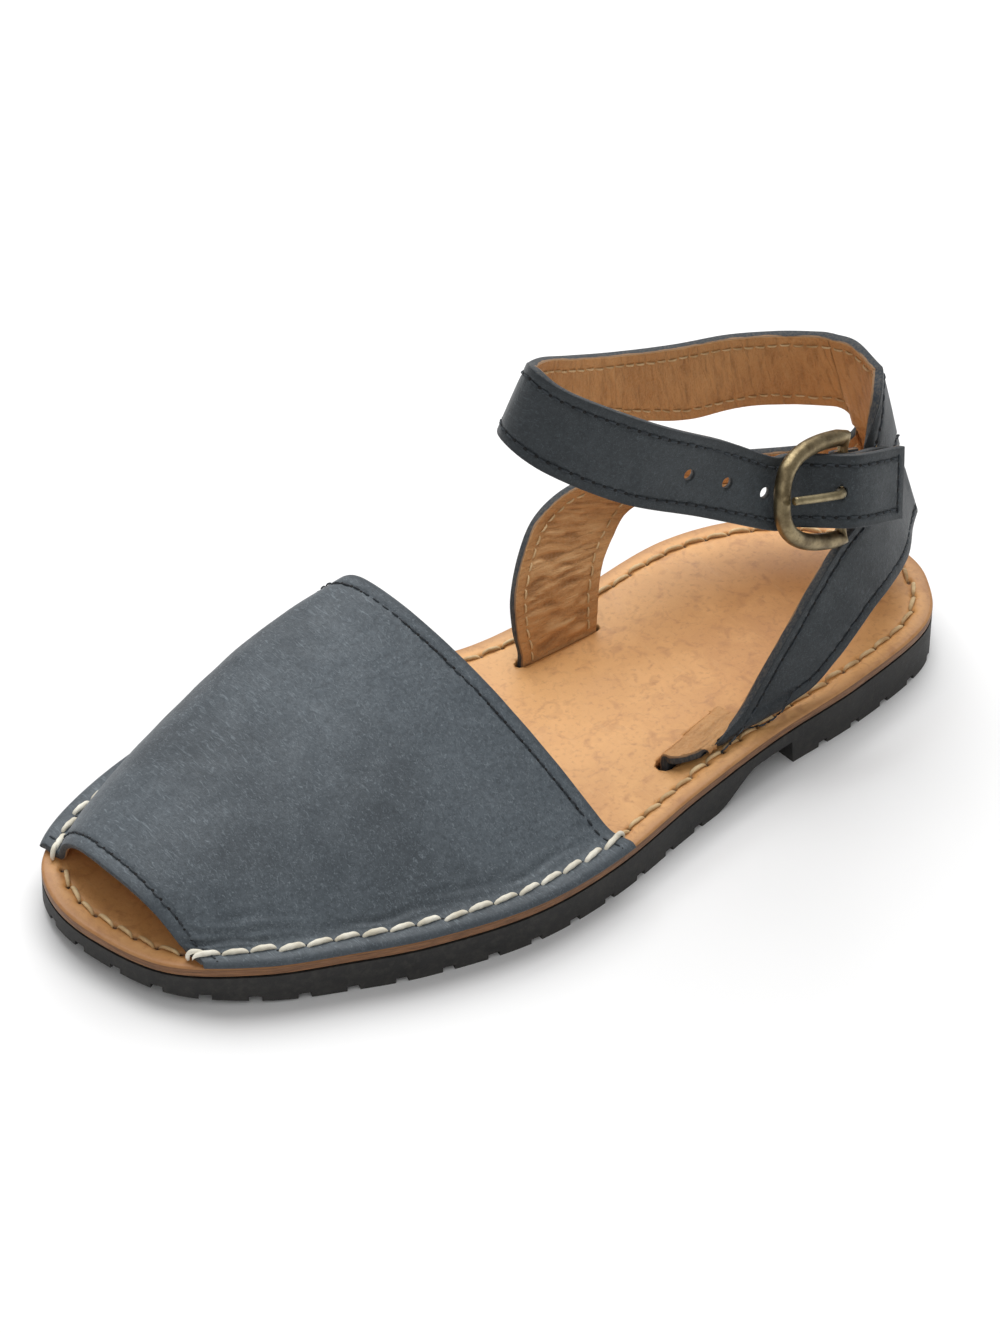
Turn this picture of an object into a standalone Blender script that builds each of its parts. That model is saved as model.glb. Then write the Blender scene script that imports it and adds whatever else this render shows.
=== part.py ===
"""Left sandal of the avarca kind with a buckled ankle ring, empty and standing on its sole.

Units are metres. +X points to the toe, +Y to the outer side of the foot, +Z up. The origin lies on
the floor, in the middle of the heel's flat spot. Every place is worked out from the named sizes:
"along" is counted from the back of the heel in shares of LENGTH, "across" from the foot's middle
line in shares of BALL_WIDTH, and "rise" from the insole's upper face in shares of ANKLE_RISE.
"""

import math
from collections import namedtuple

import bmesh
import bpy
import numpy as np

MM = 0.001

# Driving dimensions of the sole
LENGTH = 243 * MM
BALL_WIDTH = 103 * MM
FOREFOOT_RUBBER = 8.0 * MM
HEEL_LIFT = 2.8 * MM
ARCH_HEIGHT = 6.4 * MM
TOE_ROLL = 3.4 * MM
INSOLE_LEATHER = 2.7 * MM
LUG_PITCH = 11.2 * MM
LUG_GAP = 3.0 * MM
LUG_DEPTH = 1.3 * MM
LUG_REACH = 9.0 * MM

# Driving dimensions of the upper
VAMP_LEATHER = 1.9 * MM
VAMP_RISE = 41.0 * MM
TOE_MOUTH_RISE = 10.6 * MM
FLANGE = 6.2 * MM
FOLD_RADIUS = 2.4 * MM
STRAP_LEATHER = 2.4 * MM
ANKLE_RISE = 105.0 * MM
SLOT_WIDTH = 4.6 * MM
NOTCH_RADIUS = 5.5 * MM

# Driving dimensions of the fastening
BAND_WIDTH = 17.6 * MM
BUCKLE_STRAP_WIDTH = 17.2 * MM
BUCKLE_STRAP_LEATHER = 1.8 * MM
FRAME_WIRE = 2.05 * MM
FRAME_LENGTH = 24.9 * MM
FRAME_ROOM = 1.35 * MM
BAR_WIRE = 1.3 * MM
PRONG_WIRE = 1.15 * MM
PRONG_SLOT = 4.0 * MM
HOLE_RADIUS = 1.4 * MM
HOLE_PITCH = 12.5 * MM
FIRST_HOLE = 23.4 * MM
OPEN_HOLES = 3

# Clearance between pieces that meet, and spacing of the faces
CLEARANCE = 0.35 * MM
COLUMN = 4.5 * MM

# Where the parts of the sole begin and end, in shares of LENGTH
HEEL_SEAT = 0.14
HEEL_BREAST = 0.278
ARCH_TOP = 0.325
ARCH_END = 0.392
LIFT_FROM = 0.60
LIFT_TO = 0.08
ROLL_FROM = 0.80
UNDERSIDE_STEPS = 12

OutlinePoint = namedtuple("OutlinePoint", "along across")
OUTLINE = [
    OutlinePoint(0.000, 0.020),
    OutlinePoint(0.014, 0.150),
    OutlinePoint(0.066, 0.278),
    OutlinePoint(0.179, 0.340),
    OutlinePoint(0.301, 0.364),
    OutlinePoint(0.423, 0.410),
    OutlinePoint(0.545, 0.471),
    OutlinePoint(0.651, 0.482),
    OutlinePoint(0.755, 0.428),
    OutlinePoint(0.832, 0.355),
    OutlinePoint(0.908, 0.268),
    OutlinePoint(0.974, 0.133),
    OutlinePoint(1.000, -0.057),
    OutlinePoint(0.999, -0.214),
    OutlinePoint(0.970, -0.343),
    OutlinePoint(0.903, -0.433),
    OutlinePoint(0.796, -0.500),
    OutlinePoint(0.673, -0.510),
    OutlinePoint(0.563, -0.432),
    OutlinePoint(0.445, -0.349),
    OutlinePoint(0.323, -0.344),
    OutlinePoint(0.179, -0.367),
    OutlinePoint(0.074, -0.282),
    OutlinePoint(0.014, -0.130),
]
OUTLINE_STEPS = 132

# Sections of the vamp from its front edge to its rear edge. "outer" and "inner" say where it meets
# the sole's outline on the outer and inner side, "crest" is the ridge's place between its folds
# counted from the inner side, "rise" the ridge's height between the toe mouth and VAMP_RISE,
# "fullness" how round the outer slope is and "bow" how far the section runs ahead of the straight
# line between its feet.
VampSection = namedtuple("VampSection", "outer inner crest rise fullness bow")
VAMP = [
    VampSection(0.951, 0.965, 0.42, 0.00, 2.60, 0.012),
    VampSection(0.845, 0.882, 0.33, 0.28, 2.10, 0.010),
    VampSection(0.738, 0.800, 0.27, 0.55, 1.80, 0.006),
    VampSection(0.632, 0.714, 0.22, 0.80, 1.62, 0.003),
    VampSection(0.526, 0.627, 0.185, 1.00, 1.53, 0.000),
]
VAMP_COLUMNS = 30
VAMP_ROWS = 28
VAMP_INSET = 0.4 * MM
INNER_FULLNESS = 2.2

# Both edges of a strap, station by station. The arms run from a slot in the insole up and back
# towards the back of the heel; the ring leaves the back of the heel and goes round the ankle.
Station = namedtuple("Station", "low_along low_across low_rise high_along high_across high_rise")
OUTER_ARM = [
    Station(0.328, 0.231, 0.013, 0.420, 0.287, 0.017),
    Station(0.328, 0.250, 0.019, 0.420, 0.306, 0.025),
    Station(0.326, 0.275, 0.020, 0.412, 0.322, 0.026),
    Station(0.317, 0.297, 0.021, 0.391, 0.332, 0.024),
    Station(0.296, 0.315, 0.022, 0.366, 0.322, 0.026),
    Station(0.247, 0.322, 0.033, 0.325, 0.301, 0.057),
    Station(0.212, 0.320, 0.077, 0.290, 0.295, 0.146),
    Station(0.187, 0.313, 0.110, 0.261, 0.287, 0.211),
    Station(0.154, 0.291, 0.137, 0.224, 0.270, 0.282),
    Station(0.117, 0.257, 0.145, 0.179, 0.238, 0.331),
    Station(0.072, 0.199, 0.143, 0.126, 0.196, 0.347),
    Station(0.033, 0.117, 0.138, 0.080, 0.146, 0.341),
]
INNER_ARM = [
    Station(0.331, -0.208, 0.022, 0.426, -0.214, 0.024),
    Station(0.329, -0.212, 0.046, 0.428, -0.217, 0.052),
    Station(0.325, -0.222, 0.081, 0.430, -0.226, 0.097),
    Station(0.313, -0.243, 0.132, 0.426, -0.245, 0.170),
    Station(0.284, -0.284, 0.165, 0.403, -0.284, 0.244),
    Station(0.255, -0.314, 0.188, 0.374, -0.312, 0.299),
    Station(0.218, -0.323, 0.187, 0.334, -0.323, 0.327),
    Station(0.171, -0.311, 0.168, 0.282, -0.315, 0.329),
    Station(0.121, -0.272, 0.148, 0.220, -0.286, 0.311),
    Station(0.076, -0.214, 0.138, 0.158, -0.243, 0.286),
    Station(0.035, -0.134, 0.136, 0.101, -0.186, 0.272),
]
# The back of the heel, where the arms and the ring are one sheet: its lower edge, the line where
# the arms end and the ring begins, and its upper edge.
BackStation = namedtuple("BackStation", "along across rise")
BACK_LOW = [
    BackStation(0.006, 0.068, 0.136),
    BackStation(0.000, -0.010, 0.136),
    BackStation(0.003, -0.066, 0.136),
]
BACK_MIDDLE = [
    BackStation(0.042, 0.078, 0.345),
    BackStation(0.033, -0.010, 0.345),
    BackStation(0.037, -0.070, 0.345),
]
BACK_HIGH = [
    BackStation(0.080, 0.087, 0.625),
    BackStation(0.074, -0.010, 0.635),
    BackStation(0.079, -0.078, 0.627),
]
BACK_STEPS = 4
RING = [
    Station(0.051, -0.107, 0.396, 0.086, -0.107, 0.624),
    Station(0.093, -0.170, 0.410, 0.121, -0.160, 0.633),
    Station(0.150, -0.199, 0.443, 0.179, -0.184, 0.668),
    Station(0.220, -0.209, 0.474, 0.245, -0.194, 0.703),
    Station(0.294, -0.214, 0.547, 0.311, -0.199, 0.751),
    Station(0.372, -0.204, 0.640, 0.377, -0.189, 0.814),
    Station(0.434, -0.170, 0.720, 0.422, -0.155, 0.875),
    Station(0.492, -0.097, 0.793, 0.463, -0.087, 0.939),
    Station(0.521, -0.019, 0.832, 0.496, 0.010, 1.011),
    Station(0.508, 0.078, 0.788, 0.475, 0.078, 0.958),
    Station(0.442, 0.160, 0.680, 0.395, 0.152, 0.832),
    Station(0.355, 0.199, 0.568, 0.314, 0.165, 0.710),
]
RING_END = [
    Station(0.088, 0.155, 0.388, 0.101, 0.134, 0.588),
]

# The buckle's own frame: its bar stands here, and the strap runs up and forward through it.
BUCKLE_ALONG = 0.171
BUCKLE_ACROSS = 0.211
BUCKLE_RISE = 0.454
BUCKLE_ANGLE = math.radians(17.4)
BUCKLE_LEAN = math.radians(20)
STRAP_LIFT = 1.1 * MM
# Layers at the buckle, counted from its bar: the strap dives under the frame's front and rides
# over the bar, and its tail then lies on the buckle strap.
Layer = namedtuple("Layer", "forward outward")
STRAP_UNDER_FRAME = 0.1 * MM
STRAP_OVER_BAR = 5.7 * MM
FRAME_TILT = 4.3 * MM
TAIL_LENGTH = 17.0 * MM
RING_END_GAP = 10.5 * MM
BUCKLE_STRAP_LAP = 15.0 * MM
STRAP_ROUTE = [
    Layer(1.00 * FRAME_LENGTH, STRAP_UNDER_FRAME),
    Layer(0.76 * FRAME_LENGTH, -0.14 * STRAP_OVER_BAR),
    Layer(0.54 * FRAME_LENGTH, -0.10 * STRAP_OVER_BAR),
    Layer(0.32 * FRAME_LENGTH, 0.42 * STRAP_OVER_BAR),
    Layer(0.12 * FRAME_LENGTH, 0.95 * STRAP_OVER_BAR),
    Layer(-0.06 * FRAME_LENGTH, STRAP_OVER_BAR),
    Layer(-0.35 * TAIL_LENGTH, 0.92 * STRAP_OVER_BAR),
    Layer(-0.68 * TAIL_LENGTH, 0.72 * STRAP_OVER_BAR),
    Layer(-1.00 * TAIL_LENGTH, 0.55 * STRAP_OVER_BAR),
]
PRONG_ROUTE = [
    Layer(0.110 * FRAME_LENGTH, 0.0 * STRAP_OVER_BAR),
    Layer(0.170 * FRAME_LENGTH, 0.42 * STRAP_OVER_BAR),
    Layer(0.222 * FRAME_LENGTH, 0.88 * STRAP_OVER_BAR),
    Layer(0.290 * FRAME_LENGTH, 1.20 * STRAP_OVER_BAR),
    Layer(0.400 * FRAME_LENGTH, 1.35 * STRAP_OVER_BAR),
    Layer(0.640 * FRAME_LENGTH, 1.38 * STRAP_OVER_BAR),
    Layer(0.965 * FRAME_LENGTH, 1.32 * STRAP_OVER_BAR),
]


def clear_scene():
    for thing in list(bpy.data.objects):
        bpy.data.objects.remove(thing, do_unlink=True)


def material(name, colour, roughness, metallic=0.0):
    made = bpy.data.materials.new(name)
    made.use_nodes = True
    shader = made.node_tree.nodes["Principled BSDF"]
    shader.inputs["Base Color"].default_value = (*colour, 1.0)
    shader.inputs["Roughness"].default_value = roughness
    shader.inputs["Metallic"].default_value = metallic
    return made


def solid(name, points, faces, finish=None, rounded=True):
    """One object from points and faces, with its faces turned outwards."""
    mesh = bpy.data.meshes.new(name)
    mesh.from_pydata([tuple(map(float, p)) for p in points], [], faces)
    work = bmesh.new()
    work.from_mesh(mesh)
    bmesh.ops.remove_doubles(work, verts=work.verts, dist=1e-6)
    bmesh.ops.recalc_face_normals(work, faces=work.faces)
    work.to_mesh(mesh)
    work.free()
    if rounded:
        mesh.shade_smooth()
        mesh.set_sharp_from_angle(angle=math.radians(40))
    if finish:
        mesh.materials.append(finish)
    made = bpy.data.objects.new(name, mesh)
    bpy.context.scene.collection.objects.link(made)
    return made


def cutter(name, points, faces):
    made = solid(name, points, faces, rounded=False)
    made.hide_render = True
    made.display_type = "WIRE"
    return made


def combine(target, other, operation):
    step = target.modifiers.new(f"{operation.title()} {other.name}", "BOOLEAN")
    step.operation = operation
    step.object = other
    step.solver = "EXACT"


def smooth_through(rows, steps, closed=False):
    """Points on a smooth curve through the rows, with a number of steps for each stretch between."""
    rows = np.asarray(rows, float)
    last = len(rows) - 1
    found = []
    for start in range(len(rows) if closed else last):
        if closed:
            p0, p1, p2, p3 = (rows[(start + i) % len(rows)] for i in (-1, 0, 1, 2))
        else:
            p1, p2 = rows[start], rows[start + 1]
            p0 = rows[start - 1] if start else 2 * p1 - p2
            p3 = rows[start + 2] if start + 2 <= last else 2 * p2 - p1
        count = steps[start] if isinstance(steps, list) else steps
        for i in range(count):
            t = i / count
            found.append(
                0.5
                * (
                    2 * p1
                    + (p2 - p0) * t
                    + (2 * p0 - 5 * p1 + 4 * p2 - p3) * t**2
                    + (3 * p1 - p0 - 3 * p2 + p3) * t**3
                )
            )
    if not closed:
        found.append(rows[last])
    return np.array(found)


def evenly(points, count, closed=False):
    """The same curve with its points evenly spaced."""
    if closed:
        points = np.vstack([points, points[:1]])
    walked = np.concatenate([[0], np.cumsum(np.linalg.norm(np.diff(points, axis=0), axis=1))])
    wanted = np.linspace(0, walked[-1], count + 1 if closed else count)
    if closed:
        wanted = wanted[:-1]
    return np.stack([np.interp(wanted, walked, points[:, i]) for i in range(points.shape[1])], axis=1)


def smoothstep(value):
    value = min(max(value, 0.0), 1.0)
    return value * value * (3 - 2 * value)


def to_x(along):
    return (along - HEEL_SEAT) * LENGTH


def to_along(x):
    return x / LENGTH + HEEL_SEAT


def rubber_top(along):
    return FOREFOOT_RUBBER + HEEL_LIFT * smoothstep((LIFT_FROM - along) / (LIFT_FROM - LIFT_TO))


def insole_under(along):
    return rubber_top(along) + CLEARANCE


def footbed(along):
    return insole_under(along) + INSOLE_LEATHER


def place(along, across, rise=0.0):
    return np.array([to_x(along), across * BALL_WIDTH, footbed(along) + rise * ANKLE_RISE])


def outline(inset=0.0):
    """The sole's outline from the back of the heel round the outer side, moved in by inset."""
    corners = [(to_x(p.along), p.across * BALL_WIDTH) for p in OUTLINE]
    loop = evenly(smooth_through(corners, 12, closed=True), OUTLINE_STEPS, closed=True)
    run = np.roll(loop, -1, axis=0) - np.roll(loop, 1, axis=0)
    outward = np.stack([-run[:, 1], run[:, 0]], axis=1)
    outward /= np.linalg.norm(outward, axis=1)[:, None]
    return loop - outward * inset, outward


def rim_point(along, side, inset):
    """The point of the inset outline at a share of the length, on side +1 or -1."""
    loop, _ = outline(inset)
    wanted = to_x(along)
    found = []
    for a, b in zip(loop, np.roll(loop, -1, axis=0)):
        if (a[0] - wanted) * (b[0] - wanted) <= 0 and a[0] != b[0]:
            found.append(a + (wanted - a[0]) / (b[0] - a[0]) * (b - a))
    return max(found, key=lambda point: side * point[1])


def prism(loop, low, high):
    """Points and faces of an upright prism over a loop of (x, y)."""
    count = len(loop)
    points = [(x, y, low) for x, y in loop] + [(x, y, high) for x, y in loop]
    faces = [list(range(count)), list(range(count, 2 * count))]
    faces += [[i, (i + 1) % count, count + (i + 1) % count, count + i] for i in range(count)]
    return points, faces


def side_slab(profile):
    """Points and faces of a side profile of (x, z), drawn out over the whole width."""
    reach = BALL_WIDTH
    count = len(profile)
    points = [(x, -reach, z) for x, z in profile] + [(x, reach, z) for x, z in profile]
    faces = [list(range(count)), list(range(count, 2 * count))]
    faces += [[i, (i + 1) % count, count + (i + 1) % count, count + i] for i in range(count)]
    return points, faces


def underside():
    """The rubber's lower line from toe to heel, as (x, z)."""
    line = []
    for i in range(UNDERSIDE_STEPS + 1):
        along = 1.02 - (1.02 - ROLL_FROM) * i / UNDERSIDE_STEPS
        line.append((to_x(along), TOE_ROLL * ((along - ROLL_FROM) / (1 - ROLL_FROM)) ** 2))
    for i in range(UNDERSIDE_STEPS + 1):
        share = i / UNDERSIDE_STEPS
        along = ARCH_END + (ARCH_TOP - ARCH_END) * share
        line.append((to_x(along), ARCH_HEIGHT * smoothstep(share)))
    line.append((to_x(HEEL_BREAST), ARCH_HEIGHT))
    line.append((to_x(HEEL_BREAST - 0.003), 0.0))
    line.append((to_x(-0.02), 0.0))
    return line


def sole_layer(name, low_line, height_of, finish):
    """A layer of the sole: its side profile over its true outline."""
    stations = [-0.02 + 1.04 * i / 40 for i in range(41)]
    upper_line = [(to_x(a), height_of(a)) for a in stations]
    made = solid(name, *side_slab(upper_line + low_line), finish, rounded=False)
    loop, _ = outline()
    edge = cutter(f"{name}_outline", *prism(loop, -0.01, 0.05))
    for face in edge.data.polygons:
        face.use_smooth = abs(face.normal.z) < 0.5
    combine(made, edge, "INTERSECT")
    return made


def lug_cuts():
    """Short cuts in from the outline's lower edge, one every LUG_PITCH, as one mesh of boxes."""
    loop, outward = outline()
    length = np.linalg.norm(np.roll(loop, -1, axis=0) - loop, axis=1).sum()
    count = int(length / LUG_PITCH)
    points = []
    faces = []
    for i in range(count):
        at = (i + 0.5) / count * len(loop)
        index = int(at)
        centre = loop[index] + (at - index) * (loop[(index + 1) % len(loop)] - loop[index])
        along = to_along(centre[0])
        if ARCH_TOP - 0.055 < along < ARCH_END + 0.012:
            continue
        out = outward[index]
        run = np.array([out[1], -out[0]])
        low = -0.002
        roll = TOE_ROLL * max(0.0, (along - ROLL_FROM) / (1 - ROLL_FROM)) ** 2
        high = roll + LUG_DEPTH
        start = len(points)
        for z in (low, high):
            for r, o in ((-1, 1), (1, 1), (1, -1), (-1, -1)):
                spot = centre + run * r * LUG_GAP / 2 + out * (0.002 if o > 0 else -LUG_REACH)
                points.append((*spot, z))
        for face in ((0, 1, 2, 3), (4, 5, 6, 7), (0, 1, 5, 4), (1, 2, 6, 5), (2, 3, 7, 6), (3, 0, 4, 7)):
            faces.append([start + corner for corner in face])
    return points, faces


def outsole(finish):
    made = sole_layer("outsole", underside(), rubber_top, finish)
    combine(made, cutter("lug_cuts", *lug_cuts()), "DIFFERENCE")
    return made


def slot_cut(arm):
    """An upright slot through the insole for the foot of an arm."""
    base = arm[0]
    low = place(base.low_along, base.low_across)[:2]
    high = place(base.high_along, base.high_across)[:2]
    run = (high - low) / np.linalg.norm(high - low)
    side = np.array([-run[1], run[0]]) * SLOT_WIDTH / 2
    loop = []
    for centre, way in ((low, -1), (high, 1)):
        for turn in (-1, -0.5, 0, 0.5, 1):
            angle = turn * math.pi / 2
            loop.append(centre + way * (run * math.cos(angle) * SLOT_WIDTH / 2 + side * math.sin(angle)))
    return prism(loop, 0.0, 0.05)


def insole(finish):
    stations = [1.02 - 1.04 * i / 40 for i in range(41)]
    low_line = [(to_x(a), insole_under(a)) for a in stations]
    made = sole_layer("insole", low_line, footbed, finish)
    combine(made, cutter("outer_slot", *slot_cut(OUTER_ARM)), "DIFFERENCE")
    combine(made, cutter("inner_slot", *slot_cut(INNER_ARM)), "DIFFERENCE")
    return made


def sheet_faces(columns, rows, start=0):
    """Quads of a grid whose points are stored column by column."""
    return [
        [start + c * rows + r, start + (c + 1) * rows + r, start + (c + 1) * rows + r + 1, start + c * rows + r + 1]
        for c in range(columns - 1)
        for r in range(rows - 1)
    ]


def leather(name, points, faces, thickness, finish):
    """A solid of even thickness whose middle is the given sheet."""
    work = bmesh.new()
    made = [work.verts.new(tuple(map(float, p))) for p in points]
    for face in faces:
        work.faces.new([made[i] for i in face])
    bmesh.ops.remove_doubles(work, verts=work.verts, dist=1e-6)
    work.normal_update()
    bmesh.ops.recalc_face_normals(work, faces=work.faces)
    work.normal_update()
    work.verts.index_update()
    middle = np.array([v.co for v in work.verts])
    normal = np.array([v.normal for v in work.verts])
    count = len(middle)
    quads = [[v.index for v in face.verts] for face in work.faces]
    skin = np.vstack([middle + normal * thickness / 2, middle - normal * thickness / 2])
    walls = quads + [[i + count for i in reversed(quad)] for quad in quads]
    for edge in work.edges:
        if edge.is_boundary:
            a, b = (v.index for v in edge.verts)
            walls.append([a, b, b + count, a + count])
    work.free()
    return solid(name, skin, walls, finish)


def vamp_section(section):
    """Points over the foot from the inner edge of the sole to the outer one."""
    inner_end = rim_point(section.inner, -1, VAMP_INSET)
    outer_end = rim_point(section.outer, 1, VAMP_INSET)
    run = (outer_end - inner_end) / np.linalg.norm(outer_end - inner_end)
    forward = np.array([run[1], -run[0]])
    inner = inner_end + run * FLANGE
    outer = outer_end - run * FLANGE
    height = TOE_MOUTH_RISE + section.rise * (VAMP_RISE - TOE_MOUTH_RISE)
    lying = CLEARANCE + VAMP_LEATHER / 2
    over = []
    for t in np.linspace(0, 1, 8 * VAMP_ROWS) ** 1.5:
        if t < section.crest:
            climb = (1 - (1 - t / section.crest) ** INNER_FULLNESS) ** 0.5
        else:
            climb = 1 - ((t - section.crest) / (1 - section.crest)) ** section.fullness
        spot = inner + (outer - inner) * t + forward * section.bow * LENGTH * 4 * t * (1 - t)
        over.append((*spot, footbed(to_along(spot[0])) + lying + height * climb))
    over = evenly(np.array(over), VAMP_ROWS + 1)
    flanges = []
    for end, way in ((inner_end, 1), (outer_end, -1)):
        spots = [end + run * way * FLANGE * share for share in (0, 0.35, 0.7)]
        flanges.append([(*spot, footbed(to_along(spot[0])) + lying) for spot in spots])
    return np.vstack([flanges[0], over, flanges[1][::-1]])


def vamp(finish):
    rows = smooth_through([tuple(section) for section in VAMP], VAMP_COLUMNS // (len(VAMP) - 1))
    columns = [vamp_section(VampSection(*row)) for row in rows]
    rounded = []
    for column in columns:
        rounded.append(smooth_folds(column))
    count = len(rounded[0])
    points = np.vstack(rounded)
    return leather("vamp", points, sheet_faces(len(rounded), count), VAMP_LEATHER, finish)


def smooth_folds(column):
    """Eases the sharp turn at each foot of a vamp section over FOLD_RADIUS."""
    eased = column.copy()
    for foot in (3, len(column) - 4):
        before, here, after = column[foot - 1], column[foot], column[foot + 1]
        lift = (before + after) / 2 - here
        eased[foot] = here + lift * min(0.5, FOLD_RADIUS / np.linalg.norm(after - before))
    return eased


def edges_of(station):
    low = place(station.low_along, station.low_across, station.low_rise)
    high = place(station.high_along, station.high_across, station.high_rise)
    return np.concatenate([low, high])


def buckle_axes():
    forward = np.array([math.cos(BUCKLE_ANGLE), 0, math.sin(BUCKLE_ANGLE)])
    upright = np.array([-math.sin(BUCKLE_ANGLE), 0, math.cos(BUCKLE_ANGLE)])
    sideways = np.array([0, 1.0, 0])
    outward = sideways * math.cos(BUCKLE_LEAN) + upright * math.sin(BUCKLE_LEAN)
    upward = upright * math.cos(BUCKLE_LEAN) - sideways * math.sin(BUCKLE_LEAN)
    return forward, outward, upward


def at_buckle(forward, outward, upward=0.0):
    ways = buckle_axes()
    bar = place(BUCKLE_ALONG, BUCKLE_ACROSS, BUCKLE_RISE)
    return bar + forward * ways[0] + outward * ways[1] + upward * ways[2]


def band_edges(forward, outward, width, lift=0.0):
    low = at_buckle(forward, outward, lift - width / 2)
    high = at_buckle(forward, outward, lift + width / 2)
    return np.concatenate([low, high])


def lift_at(layer):
    """The strap sits a little high ahead of the frame and in its middle over the bar."""
    return STRAP_LIFT * smoothstep(layer.forward / FRAME_LENGTH)


def steps_between(rows):
    """How many columns each stretch needs to keep them about COLUMN apart."""
    gaps = [np.linalg.norm((b[:3] + b[3:] - a[:3] - a[3:]) / 2) for a, b in zip(rows, rows[1:])]
    return [max(1, round(gap / COLUMN)) for gap in gaps]


def limb(rows, away_rows, meets_low):
    """Columns of a strap whose first row is the back of the heel's side. Its edge towards the
    other strap starts at the line where they join and opens into the rounded notch."""
    columns = smooth_through(rows, steps_between(rows))
    middle = np.array(away_rows)
    walked = 0.0
    previous = columns[0]
    for i, column in enumerate(columns):
        walked += np.linalg.norm((column - previous)[:3] / 2 + (column - previous)[3:] / 2)
        previous = column.copy()
        open_share = math.sqrt(1 - (1 - min(walked / NOTCH_RADIUS, 1.0)) ** 2)
        if meets_low:
            column[:3] += (1 - open_share) * (middle - rows[0][:3])
        else:
            column[3:] += (1 - open_share) * (middle - rows[0][3:])
    return columns


def ruled(columns, rows):
    """Points between the two edges of each column, the low edge first."""
    shares = np.linspace(0, 1, rows)
    return np.vstack([[c[:3] + s * (c[3:] - c[:3]) for s in shares] for c in columns])


def notch_edges(side):
    """Where the arm's upper edge and the ring's lower edge would leave the back of the heel."""
    middle = place(*BACK_MIDDLE[side])
    up = np.array([0, 0, NOTCH_RADIUS])
    return middle - up, middle + up


def ankle_upper(finish):
    """Heel piece, both arms and the ankle ring: one sheet of leather with a notch on each side."""
    rows = 5
    points = []
    faces = []

    def add(columns):
        grid = ruled(columns, rows)
        faces.extend(sheet_faces(len(columns), rows, len(points)))
        points.extend(grid)

    back = [smooth_through([place(*s) for s in line], BACK_STEPS) for line in (BACK_LOW, BACK_MIDDLE, BACK_HIGH)]
    add([np.concatenate([low, middle]) for low, middle in zip(back[0], back[1])])
    add([np.concatenate([middle, high]) for middle, high in zip(back[1], back[2])])

    for side, arm in ((0, OUTER_ARM), (2, INNER_ARM)):
        arm_top, ring_low = notch_edges(side)
        first = np.concatenate([place(*BACK_LOW[side]), arm_top])
        foot = edges_of(arm[0])
        foot[2] = insole_under(arm[0].low_along) + CLEARANCE
        foot[5] = insole_under(arm[0].high_along) + CLEARANCE
        stations = [first] + [edges_of(station) for station in reversed(arm)] + [foot]
        add(limb(stations, place(*BACK_MIDDLE[side]), meets_low=False))
        first = np.concatenate([ring_low, place(*BACK_HIGH[side])])
        if side:
            stations = [first] + [edges_of(station) for station in RING]
            stations += [band_edges(*layer, BAND_WIDTH, lift_at(layer)) for layer in STRAP_ROUTE]
        else:
            stations = [first] + [edges_of(station) for station in RING_END]
            stations += [band_edges(-RING_END_GAP, -1.25 * STRAP_LEATHER, BUCKLE_STRAP_WIDTH)]
        add(limb(stations, place(*BACK_MIDDLE[side]), meets_low=True))
    made = leather("ankle_upper", np.array(points), faces, STRAP_LEATHER, finish)
    combine(made, strap_holes(), "DIFFERENCE")
    combine(made, cutter("prong_hole", *tube(prong_line(), PRONG_WIRE + CLEARANCE, 10)), "DIFFERENCE")
    return made


def tube(line, radius, sides, closed=False):
    """Points and faces of a round wire along a line; radius is one value or one for each point."""
    line = np.asarray(line, float)
    count = len(line)
    radii = np.broadcast_to(radius, count)
    points = []
    for i in range(count):
        ahead = line[(i + 1) % count] if closed or i + 1 < count else line[i]
        behind = line[i - 1] if closed or i else line[i]
        run = (ahead - behind) / np.linalg.norm(ahead - behind)
        flat = np.cross(run, (0, 1, 0))
        if np.linalg.norm(flat) < 0.2:
            flat = np.cross(run, (0, 0, 1))
        flat /= np.linalg.norm(flat)
        up = np.cross(flat, run)
        for s in range(sides):
            turn = 2 * math.pi * s / sides
            points.append(line[i] + radii[i] * (flat * math.cos(turn) + up * math.sin(turn)))
    faces = []
    for i in range(count if closed else count - 1):
        a, b = i * sides, (i + 1) % count * sides
        faces += [[a + s, a + (s + 1) % sides, b + (s + 1) % sides, b + s] for s in range(sides)]
    if not closed:
        faces += [list(range(sides)), list(range((count - 1) * sides, count * sides))]
    return points, faces


def ring_middle():
    """The middle line of the ankle ring, from the inner side of the heel to its tail."""
    rows = [edges_of(station) for station in RING]
    rows += [band_edges(*layer, BAND_WIDTH, lift_at(layer)) for layer in STRAP_ROUTE]
    columns = smooth_through(rows, 8)
    return (columns[:, :3] + columns[:, 3:]) / 2


def strap_holes():
    """Cutters for the open holes, counted forward along the strap from the prong's own hole."""
    middle = ring_middle()
    prong = prong_line()
    start = np.argmin(np.linalg.norm(middle - prong[len(prong) // 3], axis=1))
    walked = np.concatenate([[0], np.cumsum(np.linalg.norm(np.diff(middle, axis=0), axis=1))])
    points = []
    faces = []
    for i in range(OPEN_HOLES):
        wanted = walked[start] - FIRST_HOLE - i * HOLE_PITCH
        spot = np.array([np.interp(wanted, walked, middle[:, axis]) for axis in range(3)])
        ends = [spot - (0, 3 * STRAP_LEATHER, 0), spot + (0, 3 * STRAP_LEATHER, 0)]
        more, more_faces = tube(ends, HOLE_RADIUS, 10)
        faces += [[len(points) + corner for corner in face] for face in more_faces]
        points += more
    return cutter("strap_holes", points, faces)


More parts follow.
